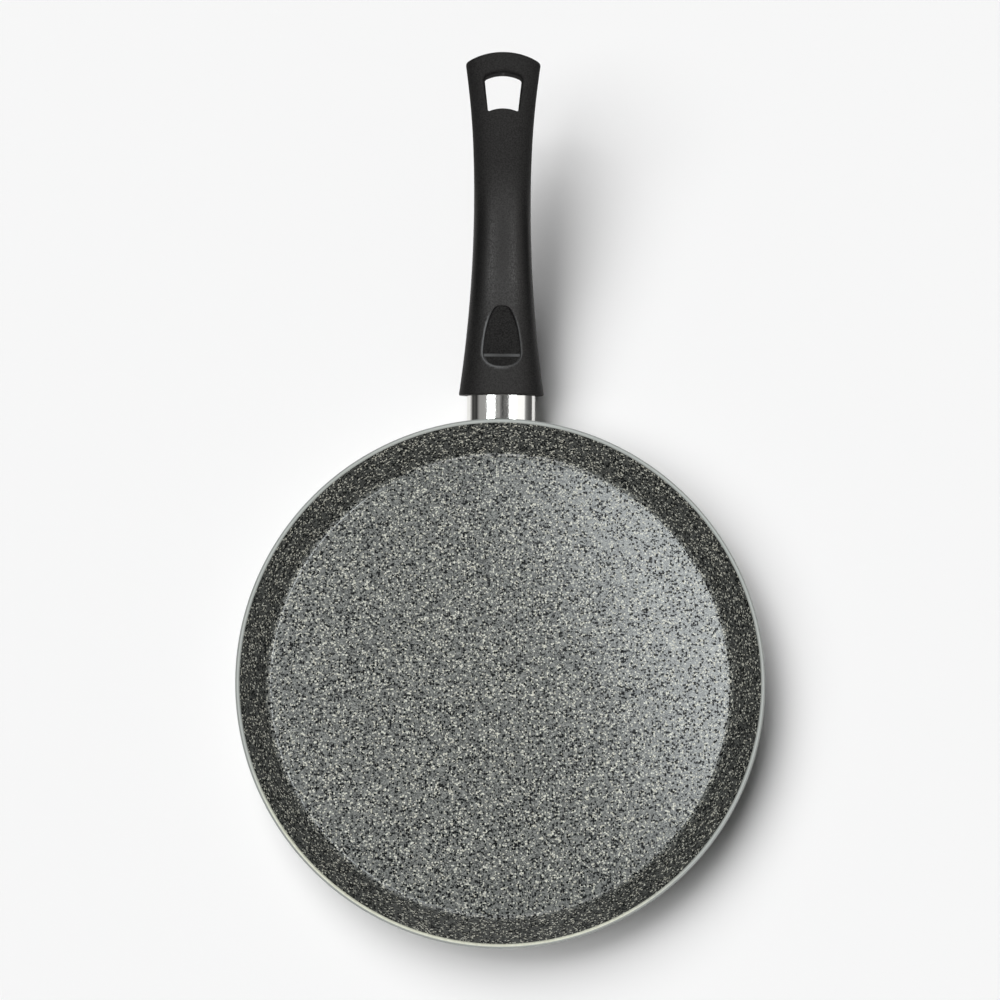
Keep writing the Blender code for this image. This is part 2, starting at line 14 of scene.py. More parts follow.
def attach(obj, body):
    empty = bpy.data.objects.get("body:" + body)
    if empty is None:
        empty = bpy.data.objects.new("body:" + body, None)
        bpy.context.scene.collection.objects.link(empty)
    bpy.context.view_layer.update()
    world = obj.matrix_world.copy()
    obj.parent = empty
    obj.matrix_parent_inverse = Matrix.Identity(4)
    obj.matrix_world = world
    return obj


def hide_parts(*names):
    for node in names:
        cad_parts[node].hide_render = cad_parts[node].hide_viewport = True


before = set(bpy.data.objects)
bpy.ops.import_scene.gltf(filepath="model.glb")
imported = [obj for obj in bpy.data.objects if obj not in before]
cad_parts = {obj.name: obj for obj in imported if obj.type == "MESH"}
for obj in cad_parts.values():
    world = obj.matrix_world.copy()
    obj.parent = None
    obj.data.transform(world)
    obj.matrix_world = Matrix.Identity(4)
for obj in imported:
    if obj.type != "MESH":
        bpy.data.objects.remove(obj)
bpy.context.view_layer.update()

# The finer meshes keep this far inside the solids' rounded edges
HAIR = 0.00001

# Pan
PAN_DIAMETER = 0.260
PAN_HEIGHT = 0.025
BASE_THICKNESS = 0.0030
WALL_THICKNESS = 0.0023
COOKING_FLAT_DIAMETER = 0.2295
INNER_FILLET = 0.0030
OUTER_FILLET = 0.0060
COATING_THICKNESS = 0.0002
FILM_THICKNESS = 0.00018
PRIMER_LINE = 0.0008
RIM_CORNER = math.radians(89.0)
PAN_STEPS = 288
FILLET_STEPS = 10

# Turned grooves in the pan's underside
GROOVE_COUNT = 4
GROOVE_PITCH = 0.0180
GROOVE_FIRST_RADIUS = 0.0300
GROOVE_WIDTH = 0.0030
GROOVE_DEPTH = 0.0004

# Where the handle's axis meets the pan's outside wall, and how steeply it climbs
HANDLE_HEIGHT = 0.0132
ROOT_PITCH = math.radians(13.5)
END_PITCH = math.radians(18.5)
SEAT_GAP = 0.0003

# Flame guard
GUARD_WIDTH = 0.0352
GUARD_HEIGHT = 0.0178
GUARD_WALL = 0.0008
GUARD_SHOWING = 0.0199
GUARD_SEAT_DEPTH = 0.0060
GUARD_POWER = 2.3
GUARD_POINTS = 192
GUARD_STEPS = 6
GUARD_BROKEN_EDGE = 0.00016
SCRIBE_FROM = -0.02
SCRIBE_TO = 0.03
SCRIBE_HALVINGS = 40

# Handle grip, along its curved centre line from the end by the pan
GRIP_LENGTH = 0.1734
ROOT_WIDTH = 0.0437
NECK_WIDTH = 0.0290
END_WIDTH = 0.0382
NECK_FROM_ROOT = 0.1014
ROOT_DEPTH = 0.0250
NECK_DEPTH = 0.0172
PALM_DEPTH = 0.0186
END_DEPTH = 0.0135
NECK_DEPTH_FROM_ROOT = 0.0694
PALM_FROM_ROOT = 0.1094
END_DEPTH_FROM_ROOT = 0.1614
UPPER_SHARE = 0.47
UPPER_POWER = 2.5
LOWER_POWER = 2.2
SECTION_SPREAD = 0.83
SECTION_POINTS = 128
RING_PITCH = 0.0013
ROOT_ROUND = 0.0010
END_ARCH_RADIUS = 0.0380
END_ARCH_FADE = 0.0500
END_ROUND = 0.0016
ROUND_STEPS = 6
SIDE_INSET = 0.6

# Hanging hole
HOLE_FROM_END = 0.0192
HOLE_LENGTH = 0.0178
HOLE_WIDTH_NEAR = 0.0152
HOLE_WIDTH_FAR = 0.0190
HOLE_CORNER_NEAR = 0.0010
HOLE_CORNER_FAR = 0.0011
HOLE_ARCH_RADIUS = 0.0190
HOLE_LIP_FAR = 0.0021
HOLE_LIP_NEAR = 0.0007
HOLE_LIP_LOWER = 0.0010
HOLE_CORNER_STEPS = 7
HOLE_SIDE_STEPS = 16
HOLE_WALL_STEPS = 6
LIP_ANGLES = (12, 24, 36, 48, 60, 70, 80, 90)
LIP_RUNOUT = 0.0003
LIP_CLEAR = 0.5

# Thumb rest
REST_WIDEST_FROM_ROOT = 0.0214
REST_HALF_WIDTH = 0.0103
REST_REACH_OUT = 0.0244
REST_REACH_IN = 0.0076
REST_OUT_POWERS = (1.6, 2.7)
REST_IN_POWER = 2.2
REST_DEPTH_FLOOR = 0.0026
REST_DEPTH_CREASE = 0.0020
REST_DEPTH_EDGE = 0.0004
REST_CREASE_FROM_ROOT = 0.0202
REST_CREASE_BLEND = 0.0005
REST_WALL_RADIUS = 0.0200
REST_DRAFT = 0.0003
REST_LIP = 0.0009
REST_LIP_SHARE = 0.7
REST_STEPS = 34
REST_LEAST_STEP = 0.00004
REST_FLOOR_STEPS = 10

# Screw from below
SCREW_FROM_ROOT = 0.0270
SCREW_THREAD_DIAMETER = 0.0050
SCREW_HEAD_DIAMETER = 0.0090
SCREW_HEAD_HEIGHT = 0.0030
SCREW_HEAD_SUNK = 0.0020
SCREW_HEAD_CLEARANCE = 0.0004
WASHER_THICKNESS = 0.0010
TONGUE_WIDTH = 0.0150
TONGUE_THICKNESS = 0.0050
TONGUE_REACH = 0.0360
SCREW_PAST_TONGUE = 0.0010
SCREW_STEPS = 64

# How far a cutter runs past the piece that it cuts
OVERRUN = 0.0040

# Points closer than this are one, and edges that turn more than this are sharp
MERGE = 0.000001
FINE_MERGE = 0.0000005
SHARP = 30.0
PAN_SHARP = 35.0
GRIP_SHARP = 28.0

# Camera, fitted to the ellipses of rim and floor and to the handle's outline
CAMERA_PLACE = (-0.0125, -0.0935, 0.825)
CAMERA_TILT = math.radians(12.74)
CAMERA_TURN = math.radians(0.85)
CAMERA_ROLL = math.radians(0.12)
CAMERA_LENS = 58.86
CAMERA_FILM = 36.0
CAMERA_NEAR = 0.01


def place_camera():
    camera = bpy.data.objects.new("camera", bpy.data.cameras.new("camera"))
    bpy.context.scene.collection.objects.link(camera)
    bpy.context.scene.camera = camera
    camera.data.lens = CAMERA_LENS
    camera.data.sensor_width = CAMERA_FILM
    camera.data.clip_start = CAMERA_NEAR
    forward = Vector((
        math.sin(CAMERA_TURN) * math.cos(CAMERA_TILT),
        math.sin(CAMERA_TILT) * math.cos(CAMERA_TURN),
        -math.cos(CAMERA_TILT) * math.cos(CAMERA_TURN),
    )).normalized()
    right = forward.cross(Vector((0.0, 1.0, 0.0))).normalized()
    up = right.cross(forward)
    roll = Matrix.Rotation(-CAMERA_ROLL, 3, forward)
    turned = Matrix((roll @ right, roll @ up, -forward)).transposed()
    camera.matrix_world = Matrix.Translation(CAMERA_PLACE) @ turned.to_4x4()


# Shader trees

class Wire:
    """A socket in a shader tree. Arithmetic on it adds Math nodes."""

    def __init__(self, tree, socket):
        self.tree = tree
        self.socket = socket

    def math(self, operation, first, second):
        return self.tree.node("ShaderNodeMath", {"operation": operation}, {0: first, 1: second})

    def __add__(self, other):
        return self.math("ADD", self, other)

    __radd__ = __add__

    def __sub__(self, other):
        return self.math("SUBTRACT", self, other)

    def __rsub__(self, other):
        return self.math("SUBTRACT", other, self)

    def __mul__(self, other):
        return self.math("MULTIPLY", self, other)

    __rmul__ = __mul__

    def __gt__(self, other):
        return self.math("GREATER_THAN", self, other)

    def __lt__(self, other):
        return self.math("LESS_THAN", self, other)

    def __abs__(self):
        return self.math("ABSOLUTE", self, 0.0)

    def or_more(self, other):
        """The larger of two values."""
        return self.math("MAXIMUM", self, other)

    def other(self, name):
        """Another output of the same node."""
        return Wire(self.tree, self.socket.node.outputs[name])


class Tree:
    """A shader tree with one method that adds any node."""

    def __init__(self, tree):
        self.tree = tree

    def node(self, kind, settings=None, inputs=None, output=0):
        node = self.tree.nodes.new(kind)
        for name, value in (settings or {}).items():
            if name == "stops":
                self.set_stops(node.color_ramp, value)
            else:
                setattr(node, name, value)
        for name, value in (inputs or {}).items():
            self.feed(node.inputs[name], value)
        return Wire(self, node.outputs[output])

    def feed(self, socket, value):
        if isinstance(value, Wire):
            self.tree.links.new(value.socket, socket)
        elif socket.type == "RGBA":
            socket.default_value = (*value, 1.0)
        else:
            socket.default_value = value

    def set_stops(self, ramp, stops):
        while len(ramp.elements) < len(stops):
            ramp.elements.new(0.5)
        for element, (position, color) in zip(ramp.elements, stops):
            element.position = position
            element.color = (*color, 1.0)

    def ramp(self, value, levels):
        """Grey levels along a value from 0 to 1."""
        stops = [(position, (level, level, level)) for position, level in levels]
        return self.node("ShaderNodeValToRGB", {"stops": stops}, {0: value})

    def blend(self, factor, first, second, kind="MIX"):
        """Mix two colours."""
        settings = {"data_type": "RGBA", "blend_type": kind}
        return self.node("ShaderNodeMix", settings, {0: factor, 6: first, 7: second}, 2)

    def span(self, value, low, high, to_low=0.0, to_high=1.0):
        """Carry a value smoothly from one range to another."""
        settings = {"interpolation_type": "SMOOTHSTEP"}
        inputs = {0: value, 1: low, 2: high, 3: to_low, 4: to_high}
        return self.node("ShaderNodeMapRange", settings, inputs)

    def noise(self, place, scale, detail=2.0, roughness=0.5, output=0):
        inputs = {"Vector": place, "Scale": scale, "Detail": detail, "Roughness": roughness}
        return self.node("ShaderNodeTexNoise", {}, inputs, output)

    def cells(self, place, size):
        """Cells as wide as size: how far off the middle is, and a random colour for each."""
        return self.node("ShaderNodeTexVoronoi", {}, {"Vector": place, "Scale": 1.0 / size})

    def parts(self, color):
        """The red of a colour, with green and blue as its other outputs."""
        return self.node("ShaderNodeSeparateColor", {}, {0: color})

    def axes(self, place):
        """The x of a place, with y and z as its other outputs."""
        return self.node("ShaderNodeSeparateXYZ", {}, {0: place})

    def moved(self, place, offset):
        return self.node("ShaderNodeVectorMath", {"operation": "ADD"}, {0: place, 1: offset})

    def stretched(self, place, factors):
        return self.node("ShaderNodeVectorMath", {"operation": "MULTIPLY"}, {0: place, 1: factors})


class Finish(Tree):
    """A material with a Principled shader, whose even values are set on its own sockets."""

    def __init__(self, name, color, roughness, metallic=0.0, **sockets):
        self.material = bpy.data.materials.new(name)
        self.material.use_nodes = True
        super().__init__(self.material.node_tree)
        self.shader = self.tree.nodes["Principled BSDF"]
        self.set("Base Color", color)
        self.set("Roughness", roughness)
        self.set("Metallic", metallic)
        for socket, value in sockets.items():
            self.set(socket.replace("_", " "), value)
        self.place = self.node("ShaderNodeTexCoord", {}, {}, "Object")

    def attribute(self, name):
        """A value that is stored at the points of the piece."""
        return self.node("ShaderNodeAttribute", {"attribute_name": name}, {}, "Fac")

    def set(self, socket, value):
        self.feed(self.shader.inputs[socket], value)

    def relief(self, height, depth, strength=1.0):
        """Bump with a height that is depth metres from 0 to 1."""
        inputs = {"Height": height, "Distance": depth, "Strength": strength}
        self.set("Normal", self.node("ShaderNodeBump", {}, inputs))


# Finishes

# Stone coating: the width of a grain and of the cells that may hold a chip, the share of the cells
# that do, where their pattern starts, how much of its cell a chip fills, and the painted shade that
# darkens the grit on the wall, where less light falls, from where it starts to where it is full
GRIT = 0.00058
GRIT_COLORS = (
    (0.0, (0.026, 0.027, 0.027)),
    (0.4, (0.108, 0.111, 0.103)),
    (1.0, (0.236, 0.240, 0.223)),
)
BLACK_CHIP = 0.00100
BLACK_SHARE = 0.27
BLACK_START = (0.12, 0.41, 0.07)
BLACK_COLOR = (0.001, 0.0015, 0.002)
CREAM_CHIP = 0.00074
CREAM_SHARE = 0.19
CREAM_START = (0.31, 0.17, 0.23)
CREAM_COLORS = ((0.45, 0.43, 0.355), (0.67, 0.66, 0.58))
CHIP_FILLS = 0.63
WALL_PAINTED_SHADE = 0.54
WALL_PAINTED_SHADE_FROM = BASE_THICKNESS + 0.0004
WALL_PAINTED_SHADE_FULL = BASE_THICKNESS + 0.0030

# Primer line: the direction in which it is cream and lighter, a real primer line with a painted
# highlight on that side, how far out that starts, and its other colour
PRIMER_AND_HIGHLIGHT_TOWARD = (-0.25, -0.97, 0.0)
PRIMER_AND_HIGHLIGHT_FROM = 0.060
PRIMER_AND_HIGHLIGHT_FULL = 0.108
PRIMER_LINE_OTHER_SIDE = (0.36, 0.37, 0.345)

# Painted highlights and wear on the grip. A lighter band is painted along the crease and along the
# rest's lip, but not the lip's far tip, and more on its left, as painted highlights where these
# edges catch the light. The hand has polished the grip's nearer half, except by the pan. The inside
# of the scoop and of the hanging hole stayed dull.
PAINTED_HIGHLIGHT_COLOR = (0.12, 0.12, 0.12)
CREASE_BAND = (0.0004, 0.0010)
CREASE_ENDS = (REST_HALF_WIDTH * 0.84, REST_HALF_WIDTH * 0.96)
CREASE_BELOW = -0.003
LIP_LEFT_TO_RIGHT = (-0.004, 0.008)
LIP_FADES = (0.015, 0.024)
LIP_MIDDLE = 0.00035
LIP_REACH = 0.0007
POLISH_STARTS = (0.155, 0.205)
POLISH_ENDS = (0.223, 0.258)
UNPOLISHED_ROUGHNESS = 0.68
DULL_ROUGHNESS = 0.3
HOLE_WALL_SHARE = 0.42


def chips(finish, spot, size, start, share):
    """Scattered chips: where they lie, and how much lighter or darker each one is."""
    cell = finish.cells(finish.moved(spot, start), size)
    pick = finish.parts(cell.other("Color"))
    return (pick < share) * (cell < CHIP_FILLS), pick.other("Green")


def stone_coating():
    """Grey grit with black and cream mineral chips, under a clear film, with painted shade up the
    wall.

    The film is thin over the cream chips and nearly gone in the black pits.
    """
    finish = Finish(
        "stone_coating", (0.14, 0.14, 0.13), 0.5, 0.0,
        Specular_IOR_Level=0.05, Coat_IOR=1.53, Coat_Roughness=0.13)
    wobble = finish.noise(finish.place, 1.1 / BLACK_CHIP, 1.0, 0.5, "Color")
    ragged = finish.stretched(finish.moved(wobble, (-0.5, -0.5, -0.5)), (GRIT, GRIT, GRIT))
    spot = finish.moved(finish.place, ragged)
    grit = finish.parts(finish.cells(spot, GRIT).other("Color"))
    cloud = finish.noise(finish.place, 75.0, 3.0, 0.6)
    base = finish.node(
        "ShaderNodeValToRGB", {"stops": GRIT_COLORS}, {0: grit + (cloud - 0.5) * 0.16})
    height = finish.axes(finish.place).other("Z")
    # Painted shade: the grit is darkened by height up the wall, standing in for the lesser light
    # there
    painted_wall_shade = finish.span(height, WALL_PAINTED_SHADE_FROM, WALL_PAINTED_SHADE_FULL)
    base = finish.blend(1.0, base, 1.0 - painted_wall_shade * WALL_PAINTED_SHADE, "MULTIPLY")
    cream, tone = chips(finish, spot, CREAM_CHIP, CREAM_START, CREAM_SHARE)
    black, _ = chips(finish, spot, BLACK_CHIP, BLACK_START, BLACK_SHARE)
    stone = finish.blend(cream, base, finish.blend(tone, *CREAM_COLORS))
    finish.set("Base Color", finish.blend(black, stone, BLACK_COLOR))
    finish.set("Roughness", finish.span(grit, 0.0, 1.0, 0.40, 0.60))
    finish.set("Coat Weight", 1.0 - black * 0.85 - cream * 0.7)
    finish.relief(grit * 0.3 + cream * 0.3 + (1.0 - black) * 0.4, 0.000012, 0.5)
    return finish.material


def sage_lacquer():
    """Satin grey lacquer with a little orange peel."""
    finish = Finish("sage_lacquer", (0.26, 0.27, 0.255), 0.5)
    cloud = finish.noise(finish.place, 45.0, 3.0, 0.6)
    finish.set("Base Color", finish.blend(
        finish.span(cloud, 0.3, 0.7), (0.268, 0.277, 0.261), (0.294, 0.303, 0.286)))
    finish.set("Roughness", finish.span(cloud, 0.3, 0.7, 0.47, 0.56))
    peel = finish.noise(finish.place, 700.0, 2.0, 0.5)
    finish.relief(peel, 0.00002, 0.5)
    return finish.material


def cream_primer():
    """The line between coating and lacquer, cream and lighter on one side: primer and painted
    highlight.
    """
    finish = Finish("cream_primer", (0.62, 0.61, 0.50), 0.4)
    streak = finish.noise(finish.place, 420.0, 3.0, 0.7)
    cream = finish.blend(
        finish.span(streak, 0.35, 0.65), (0.54, 0.53, 0.42), (0.64, 0.635, 0.52))
    toward = finish.node(
        "ShaderNodeVectorMath", {"operation": "DOT_PRODUCT"},
        {0: finish.place, 1: PRIMER_AND_HIGHLIGHT_TOWARD}, "Value")
    # Painted highlight: the line turns cream and lighter toward the lower left, where the rim
    # catches light
    primer_and_painted_highlight = finish.span(
        toward + (streak - 0.5) * 0.02, PRIMER_AND_HIGHLIGHT_FROM, PRIMER_AND_HIGHLIGHT_FULL)
    finish.set("Base Color", finish.blend(primer_and_painted_highlight, PRIMER_LINE_OTHER_SIDE, cream))
    finish.set("Roughness", finish.span(streak, 0.3, 0.7, 0.34, 0.5))
    finish.relief(streak, 0.00002, 0.5)
    return finish.material


def turned_base():
    """Bare aluminium with fine turned rings and a few scuffs from use."""
    finish = Finish("turned_base", (0.62, 0.62, 0.61), 0.33, 1.0)
    radius = finish.node(
        "ShaderNodeVectorMath", {"operation": "LENGTH"},
        {0: finish.stretched(finish.place, (1.0, 1.0, 0.0))}, "Value")
    line = finish.node("ShaderNodeCombineXYZ", {}, {0: radius * 5200.0})
    rings = finish.noise(line, 1.0, 3.0, 0.7)
    scuff = finish.noise(finish.place, 90.0, 4.0, 0.7)
    finish.set("Base Color", finish.blend(
        finish.span(scuff, 0.45, 0.75), (0.64, 0.64, 0.63), (0.46, 0.455, 0.44)))
    ring_gloss = finish.span(rings, 0.3, 0.7, 0.26, 0.40)
    finish.set("Roughness", ring_gloss + finish.span(scuff, 0.4, 0.8, 0.0, 0.12))
    finish.relief(rings, 0.00003, 0.7)
    return finish.material


def polished_steel():
    """Mirror-polished sleeve with faint lines drawn along it."""
    finish = Finish("polished_steel", (0.83, 0.82, 0.79), 0.07, 1.0)
    drawn = finish.noise(finish.stretched(finish.place, (1.0, 0.02, 1.0)), 2400.0, 2.0, 0.6)
    haze = finish.noise(finish.place, 120.0, 3.0, 0.6)
    line_gloss = finish.span(drawn, 0.35, 0.75, 0.05, 0.11)
    finish.set("Roughness", line_gloss + finish.span(haze, 0.5, 0.8, 0.0, 0.05))
    finish.relief(drawn, 0.000004, 0.4)
    return finish.material


def black_phenolic(crease):
    """Moulded black phenolic: a soft satin skin with a fine spark-eroded grain, polished by use,
    with painted highlights along the thumb rest's crease and lip.

    crease is the middle of the thumb rest's crease.
    """
    finish = Finish(
        "black_phenolic", (0.005, 0.005, 0.0053), 0.36, 0.0,
        Specular_IOR_Level=0.235, Specular_Tint=(1.0, 0.94, 0.91))
    grain = finish.noise(finish.place, 1500.0, 1.5, 0.6)
    cloud = finish.noise(finish.place, 35.0, 3.0, 0.6)
    skin = finish.blend(
        finish.span(grain, 0.3, 0.7), (0.0008, 0.0008, 0.0010), (0.0120, 0.0118, 0.0114))

    across = finish.axes(finish.moved(finish.place, -crease))
    outward = across.other("Y")
    on_crease = finish.span(abs(across), *CREASE_ENDS, 1.0, 0.0)
    on_crease = on_crease * finish.span(abs(outward), *CREASE_BAND, 1.0, 0.0)
    on_crease = on_crease * (across.other("Z") > CREASE_BELOW)
    # Painted highlights: the crease and the rest's lip are painted lighter where these edges catch
    # the light
    painted_crease_highlight = on_crease * finish.span(abs(across), 0.0, REST_HALF_WIDTH * 0.8, 0.4, 0.62)
    painted_lip_highlight = finish.attribute("worn") * finish.span(across, *LIP_LEFT_TO_RIGHT, 1.0, 0.4)
    painted_lip_highlight = painted_lip_highlight * finish.span(outward, *LIP_FADES, 1.0, 0.0)
    painted_lip_highlight = painted_lip_highlight * finish.span(grain, 0.2, 0.8, 0.8, 1.2)
    finish.set("Base Color", finish.blend(
        painted_crease_highlight.or_more(painted_lip_highlight), skin, PAINTED_HIGHLIGHT_COLOR))

    reach = finish.axes(finish.place).other("Y")
    polished = finish.span(reach, *POLISH_ENDS, 1.0, 0.0)
    polished = polished * finish.span(reach, *POLISH_STARTS, 0.4, 1.0)
    gloss = finish.span(grain, 0.28, 0.72, 0.46, 0.26) + finish.span(cloud, 0.3, 0.7, -0.02, 0.02)
    finish.set("Roughness", (
        gloss * polished + (1.0 - polished) * UNPOLISHED_ROUGHNESS
        + finish.attribute("dull") * DULL_ROUGHNESS))
    finish.relief(grain, 0.00004, 0.8)
    return finish.material


def zinc_plate(name, color, roughness):
    """Plated steel with a slightly cloudy bloom."""
    finish = Finish(name, color, roughness, 1.0)
    bloom = finish.noise(finish.place, 260.0, 4.0, 0.65)
    darker = tuple(channel * 0.82 for channel in color)
    finish.set("Base Color", finish.blend(finish.span(bloom, 0.3, 0.7), color, darker))
    finish.set("Roughness", finish.span(bloom, 0.3, 0.7, roughness - 0.05, roughness + 0.09))
    finish.relief(finish.noise(finish.place, 1900.0, 2.0, 0.5), 0.00001, 0.5)
    return finish.material


# Shapes

def ease(amount):
    """Run smoothly from 0 to 1, level at both ends."""
    amount = min(max(amount, 0.0), 1.0)
    return amount * amount * (3.0 - 2.0 * amount)


def make_piece(name, shape, materials, sharp_angle=SHARP):
    """Turn a bmesh into a smooth-shaded object at the origin."""
    mesh = bpy.data.meshes.new(name)
    shape.to_mesh(mesh)
    shape.free()
    mesh.shade_smooth()
    mesh.set_sharp_from_angle(angle=math.radians(sharp_angle))
    for material in materials:
        mesh.materials.append(material)
    piece = bpy.data.objects.new(name, mesh)
    bpy.context.scene.collection.objects.link(piece)
    return piece


def face_out(shape):
    """Point a closed shape's faces outwards."""
    bmesh.ops.recalc_face_normals(shape, faces=shape.faces)
    if shape.calc_volume(signed=True) < 0:
        bmesh.ops.reverse_faces(shape, faces=shape.faces)
    return shape


def carve(piece, cutters, sharp_angle=SHARP):
    """Cut shapes out of a piece for good."""
    made = []
    for index, shape in enumerate(cutters):
        cutter = make_piece(f"cutter_{index}", shape, [])
        boolean = piece.modifiers.new("cut", "BOOLEAN")
        boolean.operation = "DIFFERENCE"
        boolean.solver = "EXACT"
        boolean.object = cutter
        made.append(cutter)
    bpy.context.view_layer.update()
    seen = piece.evaluated_get(bpy.context.evaluated_depsgraph_get())
    mesh = bpy.data.meshes.new_from_object(seen)
    piece.modifiers.clear()
    before = piece.data
    piece.data = mesh
    bpy.data.meshes.remove(before)
    mesh.name = piece.name
    for cutter in made:
        bpy.data.objects.remove(cutter, do_unlink=True)
    mesh.shade_smooth()
    mesh.set_sharp_from_angle(angle=math.radians(sharp_angle))
    return piece


def rod_through(rings):
    """A capped rod that is pushed into a row of rings with equally many points."""
    spans = len(rings) - 1
    count = len(rings[0])
    shape = bmesh.new()
    bmesh.ops.create_cone(
        shape, cap_ends=True, segments=count, radius1=1.0, radius2=1.0, depth=spans)
    rails = [edge for edge in shape.edges if abs(edge.verts[0].co.z - edge.verts[1].co.z) > 0.5]
    bmesh.ops.subdivide_edges(shape, edges=rails, cuts=spans - 1)
    for vert in shape.verts:
        level = round(vert.co.z + spans / 2)
        turn = round(math.atan2(-vert.co.x, vert.co.y) / math.tau * count) % count
        vert.co = rings[level][turn]
    return shape


# The pan's wall lies along one straight line between the inner fillet and the rounded rim.

RIM_RADIUS = WALL_THICKNESS / 2
RIM_CENTER = Vector((PAN_DIAMETER / 2 - RIM_RADIUS - HAIR, PAN_HEIGHT - RIM_RADIUS - HAIR))
FILLET_CENTER = Vector((COOKING_FLAT_DIAMETER / 2, BASE_THICKNESS + INNER_FILLET))


def wall_flare():
    """Angle of the wall above the floor, so that it runs smoothly into fillet and rim."""
    across, up = RIM_CENTER - FILLET_CENTER
    tangent = (INNER_FILLET + RIM_RADIUS) / math.hypot(across, up)
    return math.atan2(up, across) + math.asin(tangent)


FLARE = wall_flare()
ALONG_WALL = Vector((math.cos(FLARE), math.sin(FLARE)))
OUT_OF_WALL = Vector((math.sin(FLARE), -math.cos(FLARE)))


def on_wall(out, height):
    """The point at a height on the wall's line, moved out from the wall's middle."""
    start = RIM_CENTER + OUT_OF_WALL * out
    return start + ALONG_WALL * ((height - start.y) / ALONG_WALL.y)


def outer_radius_at(height, grow=0.0):
    """Radius of the outside wall at a height, moved out by grow."""
    foot = on_wall(RIM_RADIUS, 0.0)
    bend = math.pi - FLARE
    reach = OUTER_FILLET / math.tan(bend / 2)
    center = Vector((foot.x - reach, OUTER_FILLET))
    touch = center + OUT_OF_WALL * OUTER_FILLET
    if height >= touch.y + OUT_OF_WALL.y * grow:
        return on_wall(RIM_RADIUS + grow, height).x
    round_radius = OUTER_FILLET + grow
    return center.x + math.sqrt(max(round_radius ** 2 - (OUTER_FILLET - height) ** 2, 0.0))


def bend_profile(shape, vert, radius, turn):
    """Round a corner of a profile."""
    bmesh.ops.bevel(
        shape, geom=[vert], affect="VERTICES", offset=radius * math.tan(turn / 2),
        offset_type="OFFSET", segments=FILLET_STEPS, profile=0.5, material=-1,
    )


def spin_profile(points, rounds):
    """Turn a line of (radius, height) points into a full round.

    rounds maps a point's index to (radius, turn of the corner) where the corner is rounded.
    """
    shape = bmesh.new()
    verts = [shape.verts.new((point[0], 0.0, point[1])) for point in points]
    for first, second in zip(verts, verts[1:]):
        shape.edges.new((first, second))
    for index, (radius, turn) in rounds.items():
        bend_profile(shape, verts[index], radius, turn)
    bmesh.ops.spin(
        shape, geom=shape.verts[:] + shape.edges[:], cent=(0, 0, 0), axis=(0, 0, 1),
        angle=math.tau, steps=PAN_STEPS, use_merge=True,
    )
    bmesh.ops.remove_doubles(shape, verts=shape.verts, dist=MERGE)
    return shape


def make_pan_shell(lacquer, primer, base):
    """The metal: coated floor and wall underneath, a rounded rim, and a grooved underside."""
    floor = BASE_THICKNESS - COATING_THICKNESS
    inner = -RIM_RADIUS + COATING_THICKNESS
    top = RIM_CENTER - OUT_OF_WALL * RIM_RADIUS
    step = top + OUT_OF_WALL * COATING_THICKNESS
    cap = ALONG_WALL * RIM_RADIUS
    points = [Vector((0.0, floor)), on_wall(inner, floor), step, top, top + cap]
    points += [RIM_CENTER + OUT_OF_WALL * RIM_RADIUS + cap, on_wall(RIM_RADIUS, 0.0)]
    for index in reversed(range(GROOVE_COUNT)):
        middle = GROOVE_FIRST_RADIUS + index * GROOVE_PITCH
        outer = middle + GROOVE_WIDTH / 2
        inside = middle - GROOVE_WIDTH / 2
        points += [(outer, 0.0), (outer - GROOVE_DEPTH, GROOVE_DEPTH)]
        points += [(inside + GROOVE_DEPTH, GROOVE_DEPTH), (inside, 0.0)]
    points.append((0.0, 0.0))
    # The inner fillet, the two corners of the rim and the foot of the wall
    rounds = {
        1: (INNER_FILLET + COATING_THICKNESS, FLARE),
        4: (RIM_RADIUS, RIM_CORNER),
        5: (RIM_RADIUS, RIM_CORNER),
        6: (OUTER_FILLET, FLARE),
    }
    shape = face_out(spin_profile(points, rounds))
    for face in shape.faces:
        middle = face.calc_center_median()
        radius = math.hypot(middle.x, middle.y)
        outward = (Vector((radius, middle.z)) - RIM_CENTER).dot(OUT_OF_WALL)
        if middle.z < GROOVE_DEPTH * 1.5 and radius < COOKING_FLAT_DIAMETER / 2:
            face.material_index = 2
        elif outward < PRIMER_LINE - RIM_RADIUS and middle.z > BASE_THICKNESS:
            face.material_index = 1
    return make_piece("pan_shell", shape, [lacquer, primer, base], PAN_SHARP)


def make_pan_coating(material):
    """The non-stick film: a thin skin over the floor and the inside of the wall."""
    top = RIM_CENTER - OUT_OF_WALL * RIM_RADIUS
    points = [Vector((0.0, BASE_THICKNESS)), on_wall(-RIM_RADIUS, BASE_THICKNESS), top]
    shape = spin_profile(points, {1: (INNER_FILLET, FLARE)})
    bmesh.ops.recalc_face_normals(shape, faces=shape.faces)
    if sum(face.normal.z for face in shape.faces) < 0:
        bmesh.ops.reverse_faces(shape, faces=shape.faces)
    bmesh.ops.solidify(shape, geom=shape.faces[:], thickness=FILM_THICKNESS)
    return make_piece("pan_coating", shape, [material], PAN_SHARP)


# The handle's pieces are laid out in a frame on the outside wall that climbs by the root pitch.

HANDLE_PLACE = Matrix.Translation((0.0, on_wall(RIM_RADIUS, HANDLE_HEIGHT).x, HANDLE_HEIGHT))
HANDLE_FRAME = HANDLE_PLACE @ Matrix.Rotation(ROOT_PITCH, 4, "X")
INTO_HANDLE_FRAME = HANDLE_FRAME.inverted()


def oval_ring(width, height, power, count, y):
    """A superellipse that stands across the handle's axis."""
    points = []
    for index in range(count):
        angle = math.tau * index / count
        x = math.copysign(abs(math.cos(angle)) ** (2 / power), math.cos(angle))
        z = math.copysign(abs(math.sin(angle)) ** (2 / power), math.sin(angle))
        points.append(Vector((x * width / 2, y, z * height / 2)))
    return points


